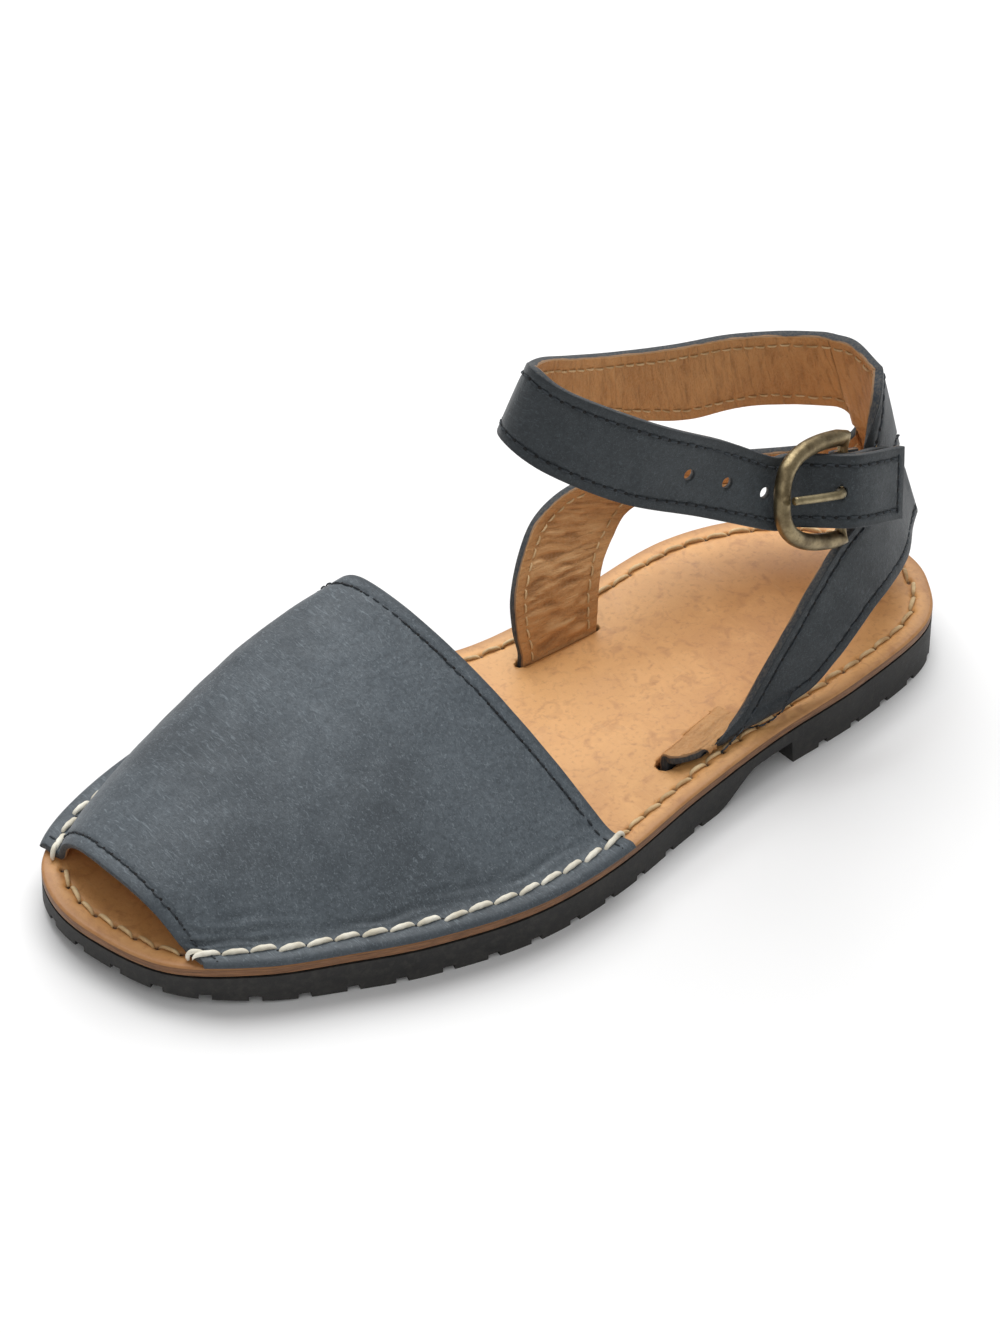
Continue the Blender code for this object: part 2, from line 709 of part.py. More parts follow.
def buckle_strap(finish):
    """The short strap that holds the buckle: sewn outside the ring's end, folded round the bar."""
    turn = BAR_WIRE + CLEARANCE + BUCKLE_STRAP_LEATHER / 2
    outer = [
        Layer(-BUCKLE_STRAP_LAP, 0.4 * MM),
        Layer(-RING_END_GAP, 0.1 * MM),
        Layer(-0.6 * RING_END_GAP, 0.45 * turn),
        Layer(-0.25 * RING_END_GAP, 0.9 * turn),
    ]
    fold = [Layer(turn * math.sin(a), turn * math.cos(a)) for a in np.linspace(0, math.pi, 9)]
    inner = [Layer(-0.3 * RING_END_GAP, -turn), Layer(-0.7 * RING_END_GAP, -turn)]
    route = smooth_through(outer + fold[:1], 3)[:-1].tolist() + fold + inner
    columns = [band_edges(*layer, BUCKLE_STRAP_WIDTH) for layer in route]
    grid = ruled(columns, 3)
    made = leather("buckle_strap", grid, sheet_faces(len(columns), 3), BUCKLE_STRAP_LEATHER, finish)
    corners = [
        at_buckle(f, o, u)
        for f in (-2.2 * turn, 3 * turn)
        for o in (-3 * turn, 3 * turn)
        for u in (-PRONG_SLOT / 2, PRONG_SLOT / 2)
    ]
    box = [[0, 1, 3, 2], [4, 5, 7, 6], [0, 1, 5, 4], [2, 3, 7, 6], [0, 2, 6, 4], [1, 3, 7, 5]]
    combine(made, cutter("prong_slot", corners, box), "DIFFERENCE")
    return made


def buckle_frame(finish):
    """A rounded frame whose straight rear side is the thinner bar."""
    half = BAND_WIDTH / 2 + FRAME_ROOM + FRAME_WIRE
    line = []
    radii = []
    roundness = 2 / 2.8
    for turn in np.linspace(math.pi / 2, -math.pi / 2, 25):
        forward = FRAME_LENGTH * abs(math.cos(turn)) ** roundness
        upward = half * math.copysign(abs(math.sin(turn)) ** roundness, math.sin(turn))
        line.append(at_buckle(forward, FRAME_TILT * forward / FRAME_LENGTH, upward))
        radii.append(FRAME_WIRE)
    for share in np.linspace(-0.8, 0.8, 7):
        line.append(at_buckle(0, 0, share * half))
        radii.append(BAR_WIRE)
    made = solid("buckle_frame", *tube(line, radii, 12, closed=True), finish)
    combine(made, cutter("prong_rest", *tube(prong_line(0.12), PRONG_WIRE + CLEARANCE, 10)), "DIFFERENCE")
    return made


def prong_line(longer=0.0):
    """The prong's middle line, made longer at its tip by a share of the frame's length."""
    route = list(PRONG_ROUTE)
    if longer:
        tip = route[-1]
        route.append(Layer(tip.forward + longer * FRAME_LENGTH, tip.outward - 0.1 * longer * FRAME_LENGTH))
    return smooth_through([at_buckle(*layer) for layer in route], 4)


def buckle_prong(finish):
    """The prong, with an eye that turns on the bar."""
    line = prong_line()
    taper = np.linspace(1.0, 0.85, len(line))
    made = solid("buckle_prong", *tube(line, PRONG_WIRE * taper, 10), finish)
    eye_radius = BAR_WIRE + CLEARANCE + PRONG_WIRE
    circle = [
        at_buckle(eye_radius * math.cos(a), eye_radius * math.sin(a))
        for a in np.linspace(0, 2 * math.pi, 17)[:-1]
    ]
    eye = cutter("prong_eye", *eye_ring(circle))
    combine(made, eye, "UNION")
    return made


def eye_ring(circle):
    """A round wire bent into the prong's eye, its section square to the bar."""
    sides = 10
    centre = np.mean(circle, axis=0)
    upward = buckle_axes()[2]
    points = []
    for spot in circle:
        out = (spot - centre) / np.linalg.norm(spot - centre)
        for s in range(sides):
            turn = 2 * math.pi * s / sides
            points.append(spot + PRONG_WIRE * (out * math.cos(turn) + upward * math.sin(turn)))
    faces = []
    for i in range(len(circle)):
        a, b = i * sides, (i + 1) % len(circle) * sides
        faces += [[a + s, a + (s + 1) % sides, b + (s + 1) % sides, b + s] for s in range(sides)]
    return points, faces


def main():
    clear_scene()
    rubber = material("Black rubber", (0.020, 0.020, 0.021), 0.75)
    natural = material("Natural leather", (0.60, 0.34, 0.15), 0.60)
    nubuck = material("Blue nubuck", (0.062, 0.084, 0.108), 0.85)
    dark = material("Dark strap leather", (0.030, 0.034, 0.040), 0.80)
    brass = material("Old brass", (0.25, 0.19, 0.09), 0.40, 1.0)
    outsole(rubber)
    insole(natural)
    vamp(nubuck)
    ankle_upper(nubuck)
    buckle_strap(dark)
    buckle_frame(brass)
    buckle_prong(brass)


main()
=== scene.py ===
"""Looks of the avarca sandal: leather, thread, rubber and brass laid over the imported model."""

import math
from collections import namedtuple

import bmesh
import bpy
import numpy as np
from mathutils import Matrix, Vector


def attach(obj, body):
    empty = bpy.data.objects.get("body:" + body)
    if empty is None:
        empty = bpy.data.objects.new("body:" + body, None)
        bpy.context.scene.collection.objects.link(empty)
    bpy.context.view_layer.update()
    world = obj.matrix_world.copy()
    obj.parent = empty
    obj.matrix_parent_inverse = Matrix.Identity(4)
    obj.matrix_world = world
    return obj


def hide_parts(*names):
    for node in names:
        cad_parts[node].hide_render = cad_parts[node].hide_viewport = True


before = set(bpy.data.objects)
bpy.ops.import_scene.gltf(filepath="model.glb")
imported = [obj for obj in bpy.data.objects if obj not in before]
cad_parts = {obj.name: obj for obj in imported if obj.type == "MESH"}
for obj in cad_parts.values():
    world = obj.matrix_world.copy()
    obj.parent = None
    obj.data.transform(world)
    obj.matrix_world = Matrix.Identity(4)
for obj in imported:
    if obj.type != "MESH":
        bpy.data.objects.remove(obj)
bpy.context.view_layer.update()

MM = 0.001

# Driving dimensions of the sole
LENGTH = 243 * MM
BALL_WIDTH = 103 * MM
FOREFOOT_RUBBER = 8.0 * MM
HEEL_LIFT = 2.8 * MM
ARCH_HEIGHT = 6.4 * MM
TOE_ROLL = 3.4 * MM
INSOLE_LEATHER = 2.7 * MM
LUG_PITCH = 11.2 * MM
LUG_GAP = 3.0 * MM
LUG_DEPTH = 1.3 * MM
LUG_REACH = 9.0 * MM

# Driving dimensions of the upper
VAMP_LEATHER = 1.9 * MM
VAMP_RISE = 41.0 * MM
TOE_MOUTH_RISE = 10.6 * MM
FLANGE = 6.2 * MM
FOLD_RADIUS = 2.4 * MM
STRAP_LEATHER = 2.4 * MM
ANKLE_RISE = 105.0 * MM
SLOT_WIDTH = 4.6 * MM
NOTCH_RADIUS = 5.5 * MM

# Driving dimensions of the fastening
BAND_WIDTH = 17.6 * MM
BUCKLE_STRAP_WIDTH = 17.2 * MM
BUCKLE_STRAP_LEATHER = 1.8 * MM
FRAME_WIRE = 2.05 * MM
FRAME_LENGTH = 24.9 * MM
FRAME_ROOM = 1.35 * MM
BAR_WIRE = 1.3 * MM
PRONG_WIRE = 1.15 * MM
PRONG_SLOT = 4.0 * MM
HOLE_RADIUS = 1.4 * MM
HOLE_PITCH = 12.5 * MM
FIRST_HOLE = 23.4 * MM
OPEN_HOLES = 3

# Clearance between pieces that meet, and spacing of the faces
CLEARANCE = 0.35 * MM
COLUMN = 0.55 * MM

# Where the parts of the sole begin and end, in shares of LENGTH
HEEL_SEAT = 0.14
HEEL_BREAST = 0.278
ARCH_TOP = 0.325
ARCH_END = 0.392
LIFT_FROM = 0.60
LIFT_TO = 0.08
ROLL_FROM = 0.80
UNDERSIDE_STEPS = 12

OutlinePoint = namedtuple("OutlinePoint", "along across")
OUTLINE = [
    OutlinePoint(0.000, 0.020),
    OutlinePoint(0.014, 0.150),
    OutlinePoint(0.066, 0.278),
    OutlinePoint(0.179, 0.340),
    OutlinePoint(0.301, 0.364),
    OutlinePoint(0.423, 0.410),
    OutlinePoint(0.545, 0.471),
    OutlinePoint(0.651, 0.482),
    OutlinePoint(0.755, 0.428),
    OutlinePoint(0.832, 0.355),
    OutlinePoint(0.908, 0.268),
    OutlinePoint(0.974, 0.133),
    OutlinePoint(1.000, -0.057),
    OutlinePoint(0.999, -0.214),
    OutlinePoint(0.970, -0.343),
    OutlinePoint(0.903, -0.433),
    OutlinePoint(0.796, -0.500),
    OutlinePoint(0.673, -0.510),
    OutlinePoint(0.563, -0.432),
    OutlinePoint(0.445, -0.349),
    OutlinePoint(0.323, -0.344),
    OutlinePoint(0.179, -0.367),
    OutlinePoint(0.074, -0.282),
    OutlinePoint(0.014, -0.130),
]
OUTLINE_STEPS = 800

# Sections of the vamp from its front edge to its rear edge. "outer" and "inner" say where it meets
# the sole's outline on the outer and inner side, "crest" is the ridge's place between its folds
# counted from the inner side, "rise" the ridge's height between the toe mouth and VAMP_RISE,
# "fullness" how round the outer slope is and "bow" how far the section runs ahead of the straight
# line between its feet.
VampSection = namedtuple("VampSection", "outer inner crest rise fullness bow")
VAMP = [
    VampSection(0.951, 0.965, 0.42, 0.00, 2.60, 0.012),
    VampSection(0.845, 0.882, 0.33, 0.28, 2.10, 0.010),
    VampSection(0.738, 0.800, 0.27, 0.55, 1.80, 0.006),
    VampSection(0.632, 0.714, 0.22, 0.80, 1.62, 0.003),
    VampSection(0.526, 0.627, 0.185, 1.00, 1.53, 0.000),
]
VAMP_COLUMNS = 30
VAMP_ROWS = 150
VAMP_INSET = 0.4 * MM
INNER_FULLNESS = 2.2

# Both edges of a strap, station by station. The arms run from a slot in the insole up and back
# towards the back of the heel; the ring leaves the back of the heel and goes round the ankle.
Station = namedtuple("Station", "low_along low_across low_rise high_along high_across high_rise")
OUTER_ARM = [
    Station(0.328, 0.231, 0.013, 0.420, 0.287, 0.017),
    Station(0.328, 0.250, 0.019, 0.420, 0.306, 0.025),
    Station(0.326, 0.275, 0.020, 0.412, 0.322, 0.026),
    Station(0.317, 0.297, 0.021, 0.391, 0.332, 0.024),
    Station(0.296, 0.315, 0.022, 0.366, 0.322, 0.026),
    Station(0.247, 0.322, 0.033, 0.325, 0.301, 0.057),
    Station(0.212, 0.320, 0.077, 0.290, 0.295, 0.146),
    Station(0.187, 0.313, 0.110, 0.261, 0.287, 0.211),
    Station(0.154, 0.291, 0.137, 0.224, 0.270, 0.282),
    Station(0.117, 0.257, 0.145, 0.179, 0.238, 0.331),
    Station(0.072, 0.199, 0.143, 0.126, 0.196, 0.347),
    Station(0.033, 0.117, 0.138, 0.080, 0.146, 0.341),
]
INNER_ARM = [
    Station(0.331, -0.208, 0.022, 0.426, -0.214, 0.024),
    Station(0.329, -0.212, 0.046, 0.428, -0.217, 0.052),
    Station(0.325, -0.222, 0.081, 0.430, -0.226, 0.097),
    Station(0.313, -0.243, 0.132, 0.426, -0.245, 0.170),
    Station(0.284, -0.284, 0.165, 0.403, -0.284, 0.244),
    Station(0.255, -0.314, 0.188, 0.374, -0.312, 0.299),
    Station(0.218, -0.323, 0.187, 0.334, -0.323, 0.327),
    Station(0.171, -0.311, 0.168, 0.282, -0.315, 0.329),
    Station(0.121, -0.272, 0.148, 0.220, -0.286, 0.311),
    Station(0.076, -0.214, 0.138, 0.158, -0.243, 0.286),
    Station(0.035, -0.134, 0.136, 0.101, -0.186, 0.272),
]
# The back of the heel, where the arms and the ring are one sheet: its lower edge, the line where
# the arms end and the ring begins, and its upper edge.
BackStation = namedtuple("BackStation", "along across rise")
BACK_LOW = [
    BackStation(0.006, 0.068, 0.136),
    BackStation(0.000, -0.010, 0.136),
    BackStation(0.003, -0.066, 0.136),
]
BACK_MIDDLE = [
    BackStation(0.042, 0.078, 0.345),
    BackStation(0.033, -0.010, 0.345),
    BackStation(0.037, -0.070, 0.345),
]
BACK_HIGH = [
    BackStation(0.080, 0.087, 0.625),
    BackStation(0.074, -0.010, 0.635),
    BackStation(0.079, -0.078, 0.627),
]
BACK_STEPS = 4
RING = [
    Station(0.051, -0.107, 0.396, 0.086, -0.107, 0.624),
    Station(0.093, -0.170, 0.410, 0.121, -0.160, 0.633),
    Station(0.150, -0.199, 0.443, 0.179, -0.184, 0.668),
    Station(0.220, -0.209, 0.474, 0.245, -0.194, 0.703),
    Station(0.294, -0.214, 0.547, 0.311, -0.199, 0.751),
    Station(0.372, -0.204, 0.640, 0.377, -0.189, 0.814),
    Station(0.434, -0.170, 0.720, 0.422, -0.155, 0.875),
    Station(0.492, -0.097, 0.793, 0.463, -0.087, 0.939),
    Station(0.521, -0.019, 0.832, 0.496, 0.010, 1.011),
    Station(0.508, 0.078, 0.788, 0.475, 0.078, 0.958),
    Station(0.442, 0.160, 0.680, 0.395, 0.152, 0.832),
    Station(0.355, 0.199, 0.568, 0.314, 0.165, 0.710),
]
RING_END = [
    Station(0.088, 0.155, 0.388, 0.101, 0.134, 0.588),
]

# The buckle's own frame: its bar stands here, and the strap runs up and forward through it.
BUCKLE_ALONG = 0.171
BUCKLE_ACROSS = 0.211
BUCKLE_RISE = 0.454
BUCKLE_ANGLE = math.radians(17.4)
BUCKLE_LEAN = math.radians(20)
STRAP_LIFT = 1.1 * MM
# Layers at the buckle, counted from its bar: the strap dives under the frame's front and rides
# over the bar, and its tail then lies on the buckle strap.
Layer = namedtuple("Layer", "forward outward")
STRAP_UNDER_FRAME = 0.1 * MM
STRAP_OVER_BAR = 5.7 * MM
FRAME_TILT = 4.3 * MM
TAIL_LENGTH = 17.0 * MM
RING_END_GAP = 10.5 * MM
BUCKLE_STRAP_LAP = 15.0 * MM
STRAP_ROUTE = [
    Layer(1.00 * FRAME_LENGTH, STRAP_UNDER_FRAME),
    Layer(0.76 * FRAME_LENGTH, -0.14 * STRAP_OVER_BAR),
    Layer(0.54 * FRAME_LENGTH, -0.10 * STRAP_OVER_BAR),
    Layer(0.32 * FRAME_LENGTH, 0.42 * STRAP_OVER_BAR),
    Layer(0.12 * FRAME_LENGTH, 0.95 * STRAP_OVER_BAR),
    Layer(-0.06 * FRAME_LENGTH, STRAP_OVER_BAR),
    Layer(-0.35 * TAIL_LENGTH, 0.92 * STRAP_OVER_BAR),
    Layer(-0.68 * TAIL_LENGTH, 0.72 * STRAP_OVER_BAR),
    Layer(-1.00 * TAIL_LENGTH, 0.55 * STRAP_OVER_BAR),
]
PRONG_ROUTE = [
    Layer(0.110 * FRAME_LENGTH, 0.0 * STRAP_OVER_BAR),
    Layer(0.170 * FRAME_LENGTH, 0.42 * STRAP_OVER_BAR),
    Layer(0.222 * FRAME_LENGTH, 0.88 * STRAP_OVER_BAR),
    Layer(0.290 * FRAME_LENGTH, 1.20 * STRAP_OVER_BAR),
    Layer(0.400 * FRAME_LENGTH, 1.35 * STRAP_OVER_BAR),
    Layer(0.640 * FRAME_LENGTH, 1.38 * STRAP_OVER_BAR),
    Layer(0.965 * FRAME_LENGTH, 1.32 * STRAP_OVER_BAR),
]




def smooth_through(rows, steps, closed=False):
    """Points on a smooth curve through the rows, with a number of steps for each stretch between."""
    rows = np.asarray(rows, float)
    last = len(rows) - 1
    found = []
    for start in range(len(rows) if closed else last):
        if closed:
            p0, p1, p2, p3 = (rows[(start + i) % len(rows)] for i in (-1, 0, 1, 2))
        else:
            p1, p2 = rows[start], rows[start + 1]
            p0 = rows[start - 1] if start else 2 * p1 - p2
            p3 = rows[start + 2] if start + 2 <= last else 2 * p2 - p1
        count = steps[start] if isinstance(steps, list) else steps
        for i in range(count):
            t = i / count
            found.append(
                0.5
                * (
                    2 * p1
                    + (p2 - p0) * t
                    + (2 * p0 - 5 * p1 + 4 * p2 - p3) * t**2
                    + (3 * p1 - p0 - 3 * p2 + p3) * t**3
                )
            )
    if not closed:
        found.append(rows[last])
    return np.array(found)


def evenly(points, count, closed=False):
    """The same curve with its points evenly spaced."""
    if closed:
        points = np.vstack([points, points[:1]])
    walked = np.concatenate([[0], np.cumsum(np.linalg.norm(np.diff(points, axis=0), axis=1))])
    wanted = np.linspace(0, walked[-1], count + 1 if closed else count)
    if closed:
        wanted = wanted[:-1]
    return np.stack([np.interp(wanted, walked, points[:, i]) for i in range(points.shape[1])], axis=1)


def smoothstep(value):
    value = min(max(value, 0.0), 1.0)
    return value * value * (3 - 2 * value)


def to_x(along):
    return (along - HEEL_SEAT) * LENGTH


def to_along(x):
    return x / LENGTH + HEEL_SEAT


def rubber_top(along):
    return FOREFOOT_RUBBER + HEEL_LIFT * smoothstep((LIFT_FROM - along) / (LIFT_FROM - LIFT_TO))


def insole_under(along):
    return rubber_top(along) + CLEARANCE


def footbed(along):
    return insole_under(along) + INSOLE_LEATHER


def place(along, across, rise=0.0):
    return np.array([to_x(along), across * BALL_WIDTH, footbed(along) + rise * ANKLE_RISE])


def outline(inset=0.0):
    """The sole's outline from the back of the heel round the outer side, moved in by inset."""
    corners = [(to_x(p.along), p.across * BALL_WIDTH) for p in OUTLINE]
    loop = evenly(smooth_through(corners, 40, closed=True), OUTLINE_STEPS, closed=True)
    run = np.roll(loop, -1, axis=0) - np.roll(loop, 1, axis=0)
    outward = np.stack([-run[:, 1], run[:, 0]], axis=1)
    outward /= np.linalg.norm(outward, axis=1)[:, None]
    return loop - outward * inset, outward


def rim_point(along, side, inset):
    """The point of the inset outline at a share of the length, on side +1 or -1."""
    loop, _ = outline(inset)
    wanted = to_x(along)
    found = []
    for a, b in zip(loop, np.roll(loop, -1, axis=0)):
        if (a[0] - wanted) * (b[0] - wanted) <= 0 and a[0] != b[0]:
            found.append(a + (wanted - a[0]) / (b[0] - a[0]) * (b - a))
    return max(found, key=lambda point: side * point[1])


def prism(loop, low, high):
    """Points and faces of an upright prism over a loop of (x, y)."""
    count = len(loop)
    points = [(x, y, low) for x, y in loop] + [(x, y, high) for x, y in loop]
    faces = [list(range(count)), list(range(count, 2 * count))]
    faces += [[i, (i + 1) % count, count + (i + 1) % count, count + i] for i in range(count)]
    return points, faces


def side_slab(profile):
    """Points and faces of a side profile of (x, z), drawn out over the whole width."""
    reach = BALL_WIDTH
    count = len(profile)
    points = [(x, -reach, z) for x, z in profile] + [(x, reach, z) for x, z in profile]
    faces = [list(range(count)), list(range(count, 2 * count))]
    faces += [[i, (i + 1) % count, count + (i + 1) % count, count + i] for i in range(count)]
    return points, faces


def underside():
    """The rubber's lower line from toe to heel, as (x, z)."""
    line = []
    for i in range(UNDERSIDE_STEPS + 1):
        along = 1.02 - (1.02 - ROLL_FROM) * i / UNDERSIDE_STEPS
        line.append((to_x(along), TOE_ROLL * ((along - ROLL_FROM) / (1 - ROLL_FROM)) ** 2))
    for i in range(UNDERSIDE_STEPS + 1):
        share = i / UNDERSIDE_STEPS
        along = ARCH_END + (ARCH_TOP - ARCH_END) * share
        line.append((to_x(along), ARCH_HEIGHT * smoothstep(share)))
    line.append((to_x(HEEL_BREAST), ARCH_HEIGHT))
    line.append((to_x(HEEL_BREAST - 0.003), 0.0))
    line.append((to_x(-0.02), 0.0))
    return line


def lug_cuts():
    """Short cuts in from the outline's lower edge, one every LUG_PITCH, as one mesh of boxes."""
    loop, outward = outline()
    length = np.linalg.norm(np.roll(loop, -1, axis=0) - loop, axis=1).sum()
    count = int(length / LUG_PITCH)
    points = []
    faces = []
    for i in range(count):
        at = (i + 0.5) / count * len(loop)
        index = int(at)
        centre = loop[index] + (at - index) * (loop[(index + 1) % len(loop)] - loop[index])
        along = to_along(centre[0])
        if ARCH_TOP - 0.055 < along < ARCH_END + 0.012:
            continue
        out = outward[index]
        run = np.array([out[1], -out[0]])
        low = -0.002
        roll = TOE_ROLL * max(0.0, (along - ROLL_FROM) / (1 - ROLL_FROM)) ** 2
        high = roll + LUG_DEPTH
        start = len(points)
        for z in (low, high):
            for r, o in ((-1, 1), (1, 1), (1, -1), (-1, -1)):
                spot = centre + run * r * LUG_GAP / 2 + out * (0.002 if o > 0 else -LUG_REACH)
                points.append((*spot, z))
        for face in ((0, 1, 2, 3), (4, 5, 6, 7), (0, 1, 5, 4), (1, 2, 6, 5), (2, 3, 7, 6), (3, 0, 4, 7)):
            faces.append([start + corner for corner in face])
    return points, faces


def slot_cut(arm, width):
    """An upright slot through the insole for the foot of an arm."""
    base = arm[0]
    low = place(base.low_along, base.low_across)[:2]
    high = place(base.high_along, base.high_across)[:2]
    run = (high - low) / np.linalg.norm(high - low)
    side = np.array([-run[1], run[0]]) * width / 2
    loop = []
    for centre, way in ((low, -1), (high, 1)):
        for turn in (-1, -0.5, 0, 0.5, 1):
            angle = turn * math.pi / 2
            loop.append(centre + way * (run * math.cos(angle) * width / 2 + side * math.sin(angle)))
    return prism(loop, 0.0, 0.05)


def sheet_faces(columns, rows, start=0):
    """Quads of a grid whose points are stored column by column."""
    return [
        [start + c * rows + r, start + (c + 1) * rows + r, start + (c + 1) * rows + r + 1, start + c * rows + r + 1]
        for c in range(columns - 1)
        for r in range(rows - 1)
    ]


def vamp_section(section):
    """Points over the foot from the inner edge of the sole to the outer one."""
    inner_end = rim_point(section.inner, -1, VAMP_INSET)
    outer_end = rim_point(section.outer, 1, VAMP_INSET)
    run = (outer_end - inner_end) / np.linalg.norm(outer_end - inner_end)
    forward = np.array([run[1], -run[0]])
    inner = inner_end + run * FLANGE
    outer = outer_end - run * FLANGE
    height = TOE_MOUTH_RISE + section.rise * (VAMP_RISE - TOE_MOUTH_RISE)
    lying = CLEARANCE + VAMP_LEATHER / 2
    over = []
    for t in np.linspace(0, 1, 8 * VAMP_ROWS) ** 1.5:
        if t < section.crest:
            climb = (1 - (1 - t / section.crest) ** INNER_FULLNESS) ** 0.5
        else:
            climb = 1 - ((t - section.crest) / (1 - section.crest)) ** section.fullness
        spot = inner + (outer - inner) * t + forward * section.bow * LENGTH * 4 * t * (1 - t)
        over.append((*spot, footbed(to_along(spot[0])) + lying + height * climb))
    over = evenly(np.array(over), VAMP_ROWS + 1)
    flanges = []
    for end, way in ((inner_end, 1), (outer_end, -1)):
        spots = [end + run * way * FLANGE * share for share in (0, 0.35, 0.7)]
        flanges.append([(*spot, footbed(to_along(spot[0])) + lying) for spot in spots])
    return np.vstack([flanges[0], over, flanges[1][::-1]])


def edges_of(station):
    low = place(station.low_along, station.low_across, station.low_rise)
    high = place(station.high_along, station.high_across, station.high_rise)
    return np.concatenate([low, high])


def buckle_axes():
    forward = np.array([math.cos(BUCKLE_ANGLE), 0, math.sin(BUCKLE_ANGLE)])
    upright = np.array([-math.sin(BUCKLE_ANGLE), 0, math.cos(BUCKLE_ANGLE)])
    sideways = np.array([0, 1.0, 0])
    outward = sideways * math.cos(BUCKLE_LEAN) + upright * math.sin(BUCKLE_LEAN)
    upward = upright * math.cos(BUCKLE_LEAN) - sideways * math.sin(BUCKLE_LEAN)
    return forward, outward, upward


def at_buckle(forward, outward, upward=0.0):
    ways = buckle_axes()
    bar = place(BUCKLE_ALONG, BUCKLE_ACROSS, BUCKLE_RISE)
    return bar + forward * ways[0] + outward * ways[1] + upward * ways[2]


def band_edges(forward, outward, width, lift=0.0):
    low = at_buckle(forward, outward, lift - width / 2)
    high = at_buckle(forward, outward, lift + width / 2)
    return np.concatenate([low, high])


def lift_at(layer):
    """The strap sits a little high ahead of the frame and in its middle over the bar."""
    return STRAP_LIFT * smoothstep(layer.forward / FRAME_LENGTH)


def limb(rows, away_rows, meets_low):
    """Columns of a strap whose first row is the back of the heel's side. Its edge towards the
    other strap starts at the line where they join and opens into the rounded notch."""
    columns = smooth_through(rows, steps_between(rows))
    middle = np.array(away_rows)
    walked = 0.0
    previous = columns[0]
    for i, column in enumerate(columns):
        walked += np.linalg.norm((column - previous)[:3] / 2 + (column - previous)[3:] / 2)
        previous = column.copy()
        open_share = math.sqrt(1 - (1 - min(walked / NOTCH_RADIUS, 1.0)) ** 2)
        if meets_low:
            column[:3] += (1 - open_share) * (middle - rows[0][:3])
        else:
            column[3:] += (1 - open_share) * (middle - rows[0][3:])
    return columns


def notch_edges(side):
    """Where the arm's upper edge and the ring's lower edge would leave the back of the heel."""
    middle = place(*BACK_MIDDLE[side])
    up = np.array([0, 0, NOTCH_RADIUS])
    return middle - up, middle + up


def tube(line, radius, sides, closed=False):
    """Points and faces of a round wire along a line; radius is one value or one for each point."""
    line = np.asarray(line, float)
    count = len(line)
    radii = np.broadcast_to(radius, count)
    points = []
    for i in range(count):
        ahead = line[(i + 1) % count] if closed or i + 1 < count else line[i]
        behind = line[i - 1] if closed or i else line[i]
        run = (ahead - behind) / np.linalg.norm(ahead - behind)
        flat = np.cross(run, (0, 1, 0))
        if np.linalg.norm(flat) < 0.2:
            flat = np.cross(run, (0, 0, 1))
        flat /= np.linalg.norm(flat)
        up = np.cross(flat, run)
        for s in range(sides):
            turn = 2 * math.pi * s / sides
            points.append(line[i] + radii[i] * (flat * math.cos(turn) + up * math.sin(turn)))
    faces = []
    for i in range(count if closed else count - 1):
        a, b = i * sides, (i + 1) % count * sides
        faces += [[a + s, a + (s + 1) % sides, b + (s + 1) % sides, b + s] for s in range(sides)]
    if not closed:
        faces += [list(range(sides)), list(range((count - 1) * sides, count * sides))]
    return points, faces


def ring_middle():
    """The middle line of the ankle ring, from the inner side of the heel to its tail."""
    rows = [edges_of(station) for station in RING]
    rows += [band_edges(*layer, BAND_WIDTH, lift_at(layer)) for layer in STRAP_ROUTE]
    columns = smooth_through(rows, 16)
    return (columns[:, :3] + columns[:, 3:]) / 2


def prong_line(longer=0.0, steps=8):
    """The prong's middle line, made longer at its tip by a share of the frame's length."""
    route = list(PRONG_ROUTE)
    if longer:
        tip = route[-1]
        route.append(Layer(tip.forward + longer * FRAME_LENGTH, tip.outward - 0.1 * longer * FRAME_LENGTH))
    return smooth_through([at_buckle(*layer) for layer in route], steps)


def eye_ring(circle):
    """A round wire bent into the prong's eye, its section square to the bar."""
    sides = 20
    centre = np.mean(circle, axis=0)
    upward = buckle_axes()[2]
    points = []
    for spot in circle:
        out = (spot - centre) / np.linalg.norm(spot - centre)
        for s in range(sides):
            turn = 2 * math.pi * s / sides
            points.append(spot + PRONG_WIRE * (out * math.cos(turn) + upward * math.sin(turn)))
    faces = []
    for i in range(len(circle)):
        a, b = i * sides, (i + 1) % len(circle) * sides
        faces += [[a + s, a + (s + 1) % sides, b + (s + 1) % sides, b + s] for s in range(sides)]
    return points, faces


def steps_between(rows):
    """How many columns each stretch needs to keep them about COLUMN apart."""
    gaps = [np.linalg.norm((b[:3] + b[3:] - a[:3] - a[3:]) / 2) for a, b in zip(rows, rows[1:])]
    return [max(1, round(gap / COLUMN)) for gap in gaps]


# How finely the scene's own leather is meshed, and how its cut edges are rounded
SHEET_EDGE = 0.35 * MM
RIM_PROFILE = [(1.0, 0.0), (0.93, 0.6), (0.6, 1.0), (0.0, 1.0), (-0.6, 1.0), (-0.93, 0.6), (-1.0, 0.0)]
SEAM_GROOVE = 0.28 * MM
SEAM_GROOVE_WIDTH = 0.55 * MM

# Seams: how far from the edge they run, the length of one stitch with its gap, and the thread
Seam = namedtuple("Seam", "inset pitch thread share")
STRAP_SEAM = Seam(2.6 * MM, 3.1 * MM, 0.26 * MM, 0.76)
LINING_SEAM = Seam(3.0 * MM, 3.4 * MM, 0.28 * MM, 0.80)
VAMP_SEAM = Seam(3.5 * MM, 2.9 * MM, 0.26 * MM, 0.76)
HAND_SEAM = Seam(3.5 * MM, 6.6 * MM, 0.74 * MM, 0.98)
SOLE_SEAM = Seam(5.0 * MM, 6.1 * MM, 0.56 * MM, 0.88)


